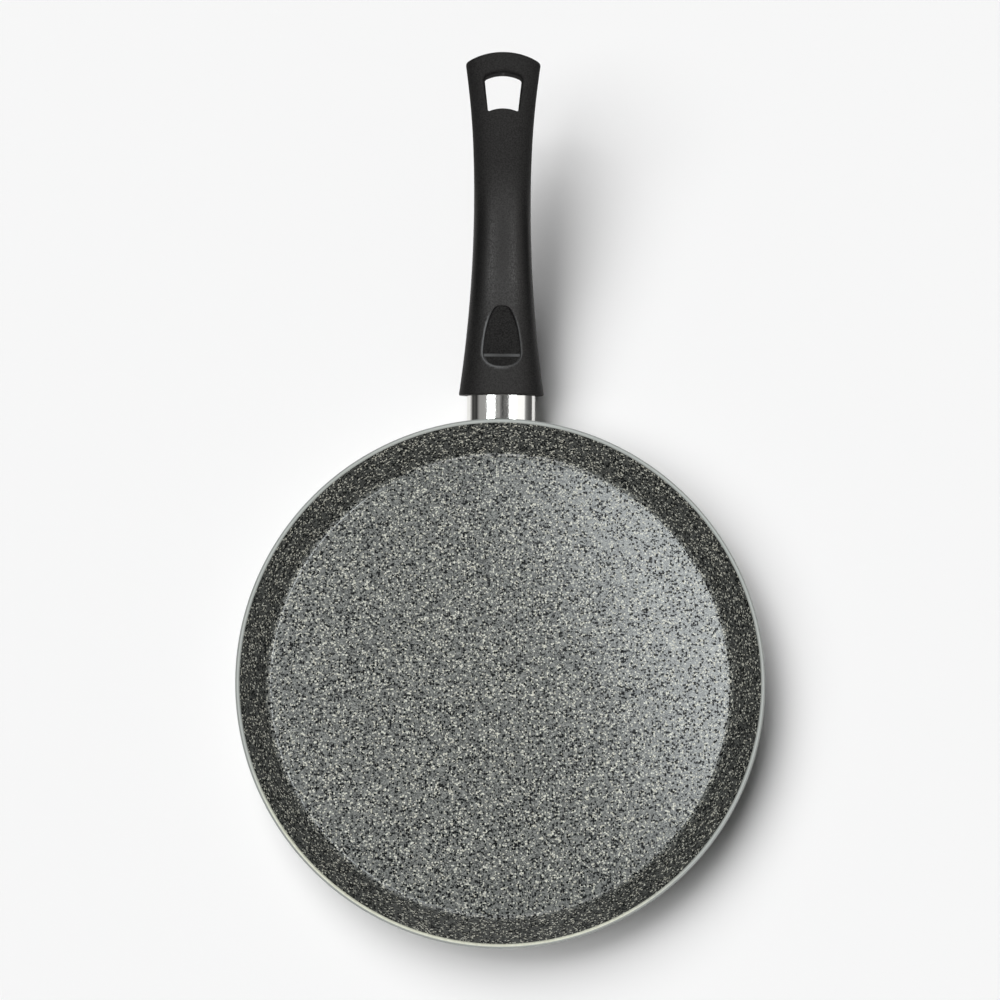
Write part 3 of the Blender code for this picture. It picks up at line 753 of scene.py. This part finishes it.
def scribed(point):
    """Slide a point along the handle's axis until it stands a gap away from the pan's wall."""
    low = SCRIBE_FROM
    high = SCRIBE_TO
    for _ in range(SCRIBE_HALVINGS):
        middle = (low + high) / 2
        place = HANDLE_FRAME @ Vector((point.x, middle, point.z))
        if math.hypot(place.x, place.y) < outer_radius_at(place.z, SEAT_GAP):
            low = middle
        else:
            high = middle
    return Vector((point.x, high, point.z))


def make_flame_guard(material):
    """An oval sleeve, scribed to the pan's wall, whose far end is let into the grip."""
    end = GUARD_SHOWING + GUARD_SEAT_DEPTH - SEAT_GAP
    outside = oval_ring(GUARD_WIDTH, GUARD_HEIGHT, GUARD_POWER, GUARD_POINTS, 0.0)
    slim = 2 * GUARD_WALL
    inside = oval_ring(GUARD_WIDTH - slim, GUARD_HEIGHT - slim, GUARD_POWER, GUARD_POINTS, 0.0)
    start = [scribed(point) for point in outside]
    before_edge = [Vector((point.x, end - GUARD_BROKEN_EDGE, point.z)) for point in outside]
    rings = [[scribed(point) for point in inside], start]
    for step in range(1, GUARD_STEPS + 1):
        share = step / GUARD_STEPS
        rings.append([first.lerp(last, share) for first, last in zip(start, before_edge)])
    tuck = 1.0 - GUARD_BROKEN_EDGE / (GUARD_WIDTH / 2)
    rings.append([Vector((point.x * tuck, end, point.z * tuck)) for point in outside])
    rings.append([Vector((point.x, end, point.z)) for point in inside])
    rings.append(rings[0])
    shape = rod_through(rings)
    caps = [face for face in shape.faces if len(face.verts) > 4]
    bmesh.ops.delete(shape, geom=caps, context="FACES_ONLY")
    bmesh.ops.remove_doubles(shape, verts=shape.verts, dist=MERGE)
    bmesh.ops.transform(shape, matrix=HANDLE_FRAME, verts=shape.verts)
    return make_piece("flame_sleeve", face_out(shape), [material])


# The grip is laid out along its centre line: s runs along it from the end by the pan, x runs
# across and n stands up from it.

BEND_RADIUS = GRIP_LENGTH / (END_PITCH - ROOT_PITCH)


def place(s, x, n):
    """A point of the grip in the model's own frame."""
    turn = s / BEND_RADIUS
    y = GUARD_SHOWING + (BEND_RADIUS - n) * math.sin(turn)
    z = BEND_RADIUS - (BEND_RADIUS - n) * math.cos(turn)
    return HANDLE_FRAME @ Vector((x, y, z))


def along_grip(point):
    """The s, x and n of a point that is given in the model's own frame."""
    point = INTO_HANDLE_FRAME @ point
    ahead = point.y - GUARD_SHOWING
    below_bend = BEND_RADIUS - point.z
    s = BEND_RADIUS * math.atan2(ahead, below_bend)
    return s, point.x, BEND_RADIUS - math.hypot(ahead, below_bend)


def grip_half_width(s):
    away = s - NECK_FROM_ROOT
    if away < 0:
        share = (away / NECK_FROM_ROOT) ** 2
        return (NECK_WIDTH + (ROOT_WIDTH - NECK_WIDTH) * share) / 2
    share = (away / (GRIP_LENGTH - NECK_FROM_ROOT)) ** 2
    return (NECK_WIDTH + (END_WIDTH - NECK_WIDTH) * share) / 2


def grip_depth(s):
    if s < NECK_DEPTH_FROM_ROOT:
        return ROOT_DEPTH + (NECK_DEPTH - ROOT_DEPTH) * ease(s / NECK_DEPTH_FROM_ROOT)
    if s < PALM_FROM_ROOT:
        share = (s - NECK_DEPTH_FROM_ROOT) / (PALM_FROM_ROOT - NECK_DEPTH_FROM_ROOT)
        return NECK_DEPTH + (PALM_DEPTH - NECK_DEPTH) * ease(share)
    share = (s - PALM_FROM_ROOT) / (END_DEPTH_FROM_ROOT - PALM_FROM_ROOT)
    return PALM_DEPTH + (END_DEPTH - PALM_DEPTH) * ease(share)


def grip_surface(s, x, upper, inset=0.0, side_inset=0.0):
    """Height of the grip's top or underside above its centre line."""
    half = grip_half_width(s) - side_inset
    power = UPPER_POWER if upper else LOWER_POWER
    share = UPPER_SHARE if upper else UPPER_SHARE - 1.0
    across = min(abs(x) / half, 1.0)
    fall = (1.0 - across ** power) ** (1.0 / power)
    rise = grip_depth(s) * share - math.copysign(inset + HAIR, share)
    return rise * fall


def end_arch(s, x):
    """How far the grip's end is drawn back towards its sides."""
    half = grip_half_width(GRIP_LENGTH)
    x = min(abs(x), half)
    bulge = math.sqrt(END_ARCH_RADIUS ** 2 - x * x) - END_ARCH_RADIUS
    return bulge * ease((s - GRIP_LENGTH + END_ARCH_FADE) / END_ARCH_FADE)


def grip_ring(s, inset):
    """One section of the grip, from +X over the top to -X and back under."""
    half = grip_half_width(s) - inset * SIDE_INSET
    ring = []
    for index in range(SECTION_POINTS):
        angle = math.tau * index / SECTION_POINTS
        x = half * math.copysign(abs(math.cos(angle)) ** SECTION_SPREAD, math.cos(angle))
        upper = index <= SECTION_POINTS // 2
        height = grip_surface(s, x, upper, inset, inset * SIDE_INSET)
        ring.append(place(s + end_arch(s, x), x, height))
    return ring


def rounded_edge(radius):
    """Pairs of advance and inset over a quarter round, from the side to the end face."""
    pairs = []
    for index in range(1, ROUND_STEPS + 1):
        angle = math.pi / 2 * index / ROUND_STEPS
        pairs.append((radius * math.sin(angle), radius * (1.0 - math.cos(angle))))
    return pairs


def grip_stations():
    """Places of the grip's sections, each with its inset from the full outline."""
    first = ROOT_ROUND
    last = GRIP_LENGTH - END_ROUND
    count = round((last - first) / RING_PITCH)
    stations = [(first - advance, inset) for advance, inset in reversed(rounded_edge(ROOT_ROUND))]
    stations += [(first + (last - first) * index / count, 0.0) for index in range(count + 1)]
    stations += [(last + advance, inset) for advance, inset in rounded_edge(END_ROUND)]
    return stations


def arc_points(center, radius, start, end, steps):
    points = []
    for index in range(steps + 1):
        angle = start + (end - start) * index / steps
        points.append((center[0] + radius * math.cos(angle), center[1] + radius * math.sin(angle)))
    return points


def hole_outline(grow_far, grow_near):
    """Points (x, s) round the hanging hole, moved out by its lip."""
    half = HOLE_LENGTH / 2
    mean = (HOLE_WIDTH_NEAR + HOLE_WIDTH_FAR) / 4
    far_in = HOLE_CORNER_FAR
    near_in = HOLE_CORNER_NEAR
    centers = [(mean - far_in, half - far_in), (far_in - mean, half - far_in)]
    centers += [(near_in - mean, near_in - half), (mean - near_in, near_in - half)]
    radii = [far_in + grow_far] * 2 + [near_in + grow_near] * 2
    corners = []
    for quarter, (center, radius) in enumerate(zip(centers, radii)):
        start = math.pi / 2 * quarter
        corners.append(arc_points(center, radius, start, start + math.pi / 2, HOLE_CORNER_STEPS))
    outline = []
    for arc, after in zip(corners, corners[1:] + corners[:1]):
        outline += arc
        for step in range(1, HOLE_SIDE_STEPS):
            outline.append(Vector(arc[-1]).lerp(after[0], step / HOLE_SIDE_STEPS))
    points = []
    for x, along in outline:
        share = (along + half) / HOLE_LENGTH
        width = HOLE_WIDTH_NEAR + (HOLE_WIDTH_FAR - HOLE_WIDTH_NEAR) * share
        x = x * width / (2 * mean)
        bulge = math.sqrt(HOLE_ARCH_RADIUS ** 2 - x * x) - HOLE_ARCH_RADIUS
        points.append((x, GRIP_LENGTH - HOLE_FROM_END + along + bulge))
    return points


def lip_rings(outline_at, surface_at, far, near, out, clear):
    """Rings of a cutter at a face, from clear outside it in over a rounded lip."""
    rings = []
    for degrees in LIP_ANGLES:
        angle = math.radians(degrees)
        curl = 1.0 - math.sin(angle)
        drop = (1.0 - math.cos(angle)) * far
        outline = outline_at(far * curl, near * curl)
        rings.append([place(s, x, surface_at(s, x) - out * drop) for x, s in outline])
    first = math.radians(LIP_ANGLES[0])
    flare = LIP_RUNOUT / math.tan(first)
    curl = 1.0 - math.sin(first)
    outline = outline_at(far * curl + flare, near * curl + flare)
    skim = [place(s, x, surface_at(s, x) + out * LIP_RUNOUT) for x, s in outline]
    outer = [place(s, x, out * clear(s)) for x, s in outline]
    return [outer, skim] + rings


def hanging_hole_shape():
    def clear(s):
        return grip_depth(s) / 2 + OVERRUN

    def top(s, x):
        return grip_surface(s, x, True)

    def underside(s, x):
        return grip_surface(s, x, False)

    upper = lip_rings(hole_outline, top, HOLE_LIP_FAR, HOLE_LIP_NEAR, 1.0, clear)
    lower = lip_rings(hole_outline, underside, HOLE_LIP_LOWER, HOLE_LIP_LOWER, -1.0, clear)
    walls = []
    for step in range(1, HOLE_WALL_STEPS):
        share = step / HOLE_WALL_STEPS
        walls.append([first.lerp(second, share) for first, second in zip(upper[-1], lower[-1])])
    return face_out(rod_through(upper + walls + lower[::-1]))


def rest_half_width(s):
    away = s - REST_WIDEST_FROM_ROOT
    if away >= 0:
        share = away / REST_REACH_OUT
        fall, root = REST_OUT_POWERS
    else:
        share = -away / REST_REACH_IN
        fall, root = REST_IN_POWER, REST_IN_POWER
    return REST_HALF_WIDTH * max(1.0 - min(share, 1.0) ** fall, 0.0) ** (1.0 / root)


def rest_depth(s):
    """Depth of the scoop's floor below the grip's top line, with the crease a little rounded."""
    far = REST_WIDEST_FROM_ROOT + REST_REACH_OUT
    near = REST_WIDEST_FROM_ROOT - REST_REACH_IN
    climb = REST_DEPTH_FLOOR - REST_DEPTH_EDGE
    foot = far - math.sqrt(climb * (2 * REST_WALL_RADIUS - climb))
    if s > foot:
        level = math.sqrt(REST_WALL_RADIUS ** 2 - (s - foot) ** 2)
        return REST_DEPTH_FLOOR - REST_WALL_RADIUS + level
    floor = REST_DEPTH_CREASE + (REST_DEPTH_FLOOR - REST_DEPTH_CREASE) * (
        (s - REST_CREASE_FROM_ROOT) / (foot - REST_CREASE_FROM_ROOT))
    facet = REST_DEPTH_EDGE + (REST_DEPTH_CREASE - REST_DEPTH_EDGE) * (
        (s - near) / (REST_CREASE_FROM_ROOT - near))
    away = abs(s - REST_CREASE_FROM_ROOT)
    rounding = max(REST_CREASE_BLEND - away, 0.0) ** 2 / (4 * REST_CREASE_BLEND)
    slopes = (REST_DEPTH_CREASE - REST_DEPTH_EDGE) / (REST_CREASE_FROM_ROOT - near)
    return min(floor, facet) - rounding * slopes


def rest_stops():
    """Stops along the thumb rest, close together by the crease and at both tips."""
    near = REST_WIDEST_FROM_ROOT - REST_REACH_IN
    stops = {REST_WIDEST_FROM_ROOT + REST_REACH_OUT, near}
    for index in range(REST_STEPS):
        share = math.sin(math.pi / 2 * index / REST_STEPS)
        stops.add(REST_WIDEST_FROM_ROOT + REST_REACH_OUT * share)
        if index % 2 == 0:
            stops.add(REST_WIDEST_FROM_ROOT - REST_REACH_IN * share)
    for index in range(-2, 3):
        stops.add(REST_CREASE_FROM_ROOT + REST_CREASE_BLEND * index / 2)
    ordered = sorted(stops)
    kept = [ordered[0]]
    for stop in ordered[1:]:
        if stop - kept[-1] > REST_LEAST_STEP:
            kept.append(stop)
    return kept


def rest_outline():
    """Points (x, s) round the thumb rest."""
    stops = rest_stops()
    line = [Vector((rest_half_width(s), s)) for s in stops]
    return line + [Vector((-rest_half_width(s), s)) for s in stops[-2:0:-1]]


def rest_level(s):
    """Height of the scoop's floor above the centre line."""
    return grip_surface(s, 0.0, True) - rest_depth(s)


def thumb_rest_shape():
    """A cutter with an arched outline, a rounded lip inside it and a scooped floor."""
    line = rest_outline()
    rims = []
    for index, point in enumerate(line):
        ahead = (line[(index + 1) % len(line)] - line[index - 1]).normalized()
        wall = grip_surface(point.y, point.x, True) - rest_level(point.y)
        rims.append((point, Vector((ahead.y, -ahead.x)), min(REST_LIP, wall * REST_LIP_SHARE)))

    def ring_at(move, drop):
        ring = []
        for point, outward, lip in rims:
            x, s = point + outward * (move * lip)
            ring.append(place(s, x, grip_surface(s, x, True) - drop * lip))
        return ring

    first = math.radians(LIP_ANGLES[0])
    rise = 1.0 - math.cos(first)
    clear = []
    for point, outward, lip in rims:
        x, s = point + outward * (LIP_CLEAR - math.sin(first)) * lip
        clear.append(place(s, x, grip_depth(s) / 2 + OVERRUN))
    rings = [clear, ring_at(LIP_CLEAR - math.sin(first), rise - LIP_CLEAR * math.tan(first))]
    for degrees in LIP_ANGLES:
        angle = math.radians(degrees)
        rings.append(ring_at(-math.sin(angle), 1.0 - math.cos(angle)))
    for step in range(REST_FLOOR_STEPS + 1):
        share = 1.0 - step / REST_FLOOR_STEPS
        ring = []
        for point, outward, lip in rims:
            x, s = point - outward * (lip + REST_DRAFT)
            inner = abs(x) * share
            ring.append(place(s, math.copysign(inner, point.x), rest_level(s)))
        rings.append(ring)
    shape = rod_through(rings)
    bmesh.ops.remove_doubles(shape, verts=shape.verts, dist=FINE_MERGE)
    bmesh.ops.dissolve_degenerate(shape, edges=shape.edges, dist=FINE_MERGE)
    return face_out(shape)


def gap_to_line(line, spot):
    """Least distance from a spot to a closed line."""
    gaps = []
    for first, second in zip(line, line[1:] + line[:1]):
        side = second - first
        share = (spot - first).dot(side) / side.length_squared
        gaps.append((spot - first.lerp(second, min(max(share, 0.0), 1.0))).length)
    return min(gaps)


def mark_grip(piece):
    """Store how much painted highlight the thumb rest's lip gets and where the skin stayed dull, at
    each point.
    """
    line = rest_outline()
    starts = REST_WIDEST_FROM_ROOT - REST_REACH_IN - REST_LIP
    ends = REST_WIDEST_FROM_ROOT + REST_REACH_OUT + REST_LIP
    worn = piece.data.attributes.new("worn", "FLOAT", "POINT")
    dull = piece.data.attributes.new("dull", "FLOAT", "POINT")
    for vert in piece.data.vertices:
        s, x, n = along_grip(vert.co)
        if n > 0.0 and starts < s < ends and abs(x) < REST_HALF_WIDTH + REST_LIP:
            depth = gap_to_line(line, Vector((x, s)))
            if abs(x) >= rest_half_width(s):
                depth = -depth
            worn.data[vert.index].value = 1.0 - ease(abs(depth - LIP_MIDDLE) / LIP_REACH)
            dull.data[vert.index].value = ease((depth - LIP_MIDDLE) / LIP_REACH)
        from_hole = abs(s - GRIP_LENGTH + HOLE_FROM_END)
        in_hole = from_hole < HOLE_LENGTH / 2 and abs(x) < HOLE_WIDTH_FAR / 2
        if in_hole and abs(n) < END_DEPTH * HOLE_WALL_SHARE:
            dull.data[vert.index].value = 1.0


def frame_rod(radius, low, high, y):
    """A rod that stands on the handle's axis."""
    shape = bmesh.new()
    bmesh.ops.create_cone(
        shape, cap_ends=True, segments=SCREW_STEPS, radius1=radius, radius2=radius,
        depth=high - low)
    bmesh.ops.translate(shape, vec=(0.0, y, (low + high) / 2), verts=shape.verts)
    bmesh.ops.transform(shape, matrix=HANDLE_FRAME, verts=shape.verts)
    return shape


def frame_box(low, high):
    """A box in the handle's frame."""
    shape = bmesh.new()
    bmesh.ops.create_cube(shape, size=1.0)
    low = Vector(low)
    high = Vector(high)
    bmesh.ops.scale(shape, vec=high - low, verts=shape.verts)
    bmesh.ops.translate(shape, vec=(low + high) / 2, verts=shape.verts)
    bmesh.ops.transform(shape, matrix=HANDLE_FRAME, verts=shape.verts)
    return shape


SCREW_PLACE = GUARD_SHOWING + SCREW_FROM_ROOT


def screw_head_low():
    """Height of the screw head's underside in the handle's frame."""
    underside = grip_surface(SCREW_FROM_ROOT, 0.0, False)
    return (INTO_HANDLE_FRAME @ place(SCREW_FROM_ROOT, 0.0, underside)).z + SCREW_HEAD_SUNK


def make_grip(material):
    """The moulded handle with its hole, thumb rest, sleeve seat and screw hole."""
    shape = rod_through([grip_ring(s, inset) for s, inset in grip_stations()])
    end = max(shape.faces, key=lambda face: (len(face.verts), face.calc_center_median().y))
    rim = sorted(end.verts, key=lambda vert: vert.co.x)
    for first, second in zip(rim[1:-1:2], rim[2:-1:2]):
        bmesh.ops.connect_verts(shape, verts=[first, second])
    grip = make_piece("grip", face_out(shape), [material])

    seat_end = GUARD_SHOWING + GUARD_SEAT_DEPTH
    wide = GUARD_WIDTH + 2 * SEAT_GAP
    high = GUARD_HEIGHT + 2 * SEAT_GAP
    seat_rings = []
    for y in (GUARD_SHOWING - OVERRUN, seat_end):
        ring = oval_ring(wide, high, GUARD_POWER, GUARD_POINTS, y)
        seat_rings.append([HANDLE_FRAME @ point for point in ring])
    seat = face_out(rod_through(seat_rings))

    half = TONGUE_WIDTH / 2 + SEAT_GAP
    rise = TONGUE_THICKNESS / 2 + SEAT_GAP
    socket_end = GUARD_SHOWING + TONGUE_REACH + SEAT_GAP
    socket = frame_box((-half, seat_end - OVERRUN, -rise), (half, socket_end, rise))

    head_high = screw_head_low() + SCREW_HEAD_HEIGHT
    shoulder = head_high + WASHER_THICKNESS + 2 * SEAT_GAP
    sink = frame_rod(SCREW_HEAD_DIAMETER / 2 + SCREW_HEAD_CLEARANCE, screw_head_low() - OVERRUN,
                     shoulder, SCREW_PLACE)
    tip = TONGUE_THICKNESS / 2 + SCREW_PAST_TONGUE + SEAT_GAP
    bore = frame_rod(SCREW_THREAD_DIAMETER / 2 + SEAT_GAP, shoulder - OVERRUN / 2, tip, SCREW_PLACE)
    cutters = [hanging_hole_shape(), thumb_rest_shape(), seat, socket, sink, bore]
    carve(grip, cutters, GRIP_SHARP)
    mark_grip(grip)
    return grip


# Studio

FLOOR_SIZE = 12.0
BOX_HEIGHT = 5.0
BOX_COLOR = (0.92, 0.975, 1.0)
PAPER = 0.93

# Far soft lights: name, azimuth, lean from straight up and spread in degrees, the level that each
# gives a flat white surface, and whether it lights only the paper floor or all but that
FAR_LIGHTS = (
    ("key", 125.0, 40.0, 45.0, 0.56, "INCLUDE"),
    ("key_side", 185.0, 40.0, 45.0, 0.39, "INCLUDE"),
    ("fill_near", 270.0, 50.0, 44.0, 0.29, "EXCLUDE"),
    ("fill_far", 90.0, 50.0, 44.0, 0.20, "EXCLUDE"),
)

# Soft boxes overhead, for all but the paper floor: name, x, y, width, length, turn in degrees and
# radiance
SOFT_BOXES = (
    ("soft_box_left", -1.170, 0.25, 1.15, 3.2, 0.0, 8.2),
    ("soft_box_right", 1.075, 0.40, 1.20, 3.0, 21.5, 7.2),
)

# The room that the bright metal mirrors: grey levels by height from the horizon to straight up, on
# the left and on the right, and across the dark stand between the two boxes
LEFT_WALL = (
    (0.0, 0.55), (0.12, 0.5), (0.3, 0.04), (0.5, 0.08), (0.65, 0.03), (0.76, 0.33), (1.0, 0.4),
)
RIGHT_WALL = ((0.0, 0.1), (0.38, 0.1), (0.53, 0.17), (0.64, 0.3), (0.71, 1.2), (1.0, 1.2))
OVERHEAD = (
    (0.0, 0.42), (0.25, 0.46), (0.36, 0.27), (0.455, 0.4), (0.53, 0.1), (0.58, 0.045),
    (0.66, 0.16), (0.77, 0.12), (0.9, 0.3), (1.0, 1.2),
)
OVERHEAD_SPREAD = 2.5
OVERHEAD_FROM = (0.92, 0.96)
WALLS_MEET = (-0.25, 0.25)
DARK_ENDS = (0.08, 0.25)
DARK_ROOM = (0.05, 0.05, 0.05)
FILL_ROOM = (0.05, 0.05, 0.05)


def add_light(name, kind, place_at, direction):
    lamp = bpy.data.objects.new(name, bpy.data.lights.new(name, kind))
    bpy.context.scene.collection.objects.link(lamp)
    lamp.location = place_at
    lamp.rotation_euler = Vector(direction).to_track_quat("-Z", "Y").to_euler()
    return lamp


def link_light(lamp, item, state):
    """Let a lamp light only this item, or all but this item."""
    group = bpy.data.collections.new(lamp.name + "_group")
    group.objects.link(item)
    group.collection_objects[0].light_linking.link_state = state
    lamp.light_linking.receiver_collection = group


def light_studio():
    """Soft boxes and fills for the pan, broad keys for the paper floor, and a dark room."""
    floor_shape = bmesh.new()
    bmesh.ops.create_grid(floor_shape, x_segments=1, y_segments=1, size=FLOOR_SIZE / 2)
    paper = Finish("paper", (PAPER, PAPER, PAPER), 0.9, 0.0, Specular_IOR_Level=0.1)
    floor = make_piece("floor", floor_shape, [paper.material])

    for name, azimuth, lean, spread, share, state in FAR_LIGHTS:
        azimuth = math.radians(azimuth)
        lean = math.radians(lean)
        low = math.sin(lean)
        toward = Vector((math.cos(azimuth) * low, math.sin(azimuth) * low, math.cos(lean)))
        lamp = add_light(name, "SUN", toward * BOX_HEIGHT, -toward)
        lamp.data.angle = math.radians(spread)
        lamp.data.energy = share * math.pi / math.cos(lean)
        link_light(lamp, floor, state)

    for name, x, y, width, length, turn, radiance in SOFT_BOXES:
        box = add_light(name, "AREA", (x, y, BOX_HEIGHT), (0, 0, -1))
        box.rotation_euler = (0.0, 0.0, math.radians(turn))
        box.data.shape = "RECTANGLE"
        box.data.color = BOX_COLOR
        box.data.size = width
        box.data.size_y = length
        box.data.energy = radiance * math.pi * width * length
        link_light(box, floor, "EXCLUDE")

    world = bpy.data.worlds.new("studio")
    bpy.context.scene.world = world
    world.use_nodes = True
    tree = Tree(world.node_tree)
    direction = tree.node("ShaderNodeTexCoord", {}, {}, "Generated")
    across = tree.axes(direction)
    up = across.other("Z")
    left = tree.ramp(up, LEFT_WALL)
    right = tree.ramp(up, RIGHT_WALL)
    walls = tree.blend(tree.span(across, *WALLS_MEET), left, right)
    ahead = across.other("Y")
    beside = tree.span(ahead * ahead, *DARK_ENDS, 1.0, 0.0)
    walls = tree.blend(beside, DARK_ROOM, walls)
    overhead = tree.ramp(across * OVERHEAD_SPREAD + 0.5, OVERHEAD)
    room = tree.blend(tree.span(up, *OVERHEAD_FROM), walls, overhead)
    seen = tree.node("ShaderNodeLightPath", {}, {}, "Is Camera Ray")
    color = tree.blend(seen.other("Is Glossy Ray"), FILL_ROOM, room)
    color = tree.blend(seen, color, (PAPER, PAPER, PAPER))
    tree.feed(world.node_tree.nodes["Background"].inputs["Color"], color)


def main():
    bpy.context.scene.view_settings.view_transform = "Standard"
    place_camera()
    light_studio()

    shell = make_pan_shell(sage_lacquer(), cream_primer(), turned_base())
    coating = make_pan_coating(stone_coating())
    sleeve = make_flame_guard(polished_steel())
    crease = place(REST_CREASE_FROM_ROOT, 0.0, rest_level(REST_CREASE_FROM_ROOT))
    grip = make_grip(black_phenolic(crease))
    for piece, node, slot in (
        (shell, "pan_body", "coated_aluminium"),
        (coating, "pan_body", "stone_coating"),
        (sleeve, "flame_guard", "polished_steel"),
        (grip, "handle_grip", "black_phenolic"),
    ):
        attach(piece, "root")
        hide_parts(node)

    for node, slot, finish in (
        ("handle_bracket", "zinc_steel", zinc_plate("zinc_steel", (0.55, 0.56, 0.57), 0.34)),
        ("handle_screw", "screw_steel", zinc_plate("screw_steel", (0.62, 0.62, 0.6), 0.26)),
        ("lock_washer", "spring_steel", zinc_plate("spring_steel", (0.36, 0.36, 0.37), 0.38)),
    ):
        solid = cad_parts[node]
        solid.data.materials.clear()
        solid.data.materials.append(finish)


main()
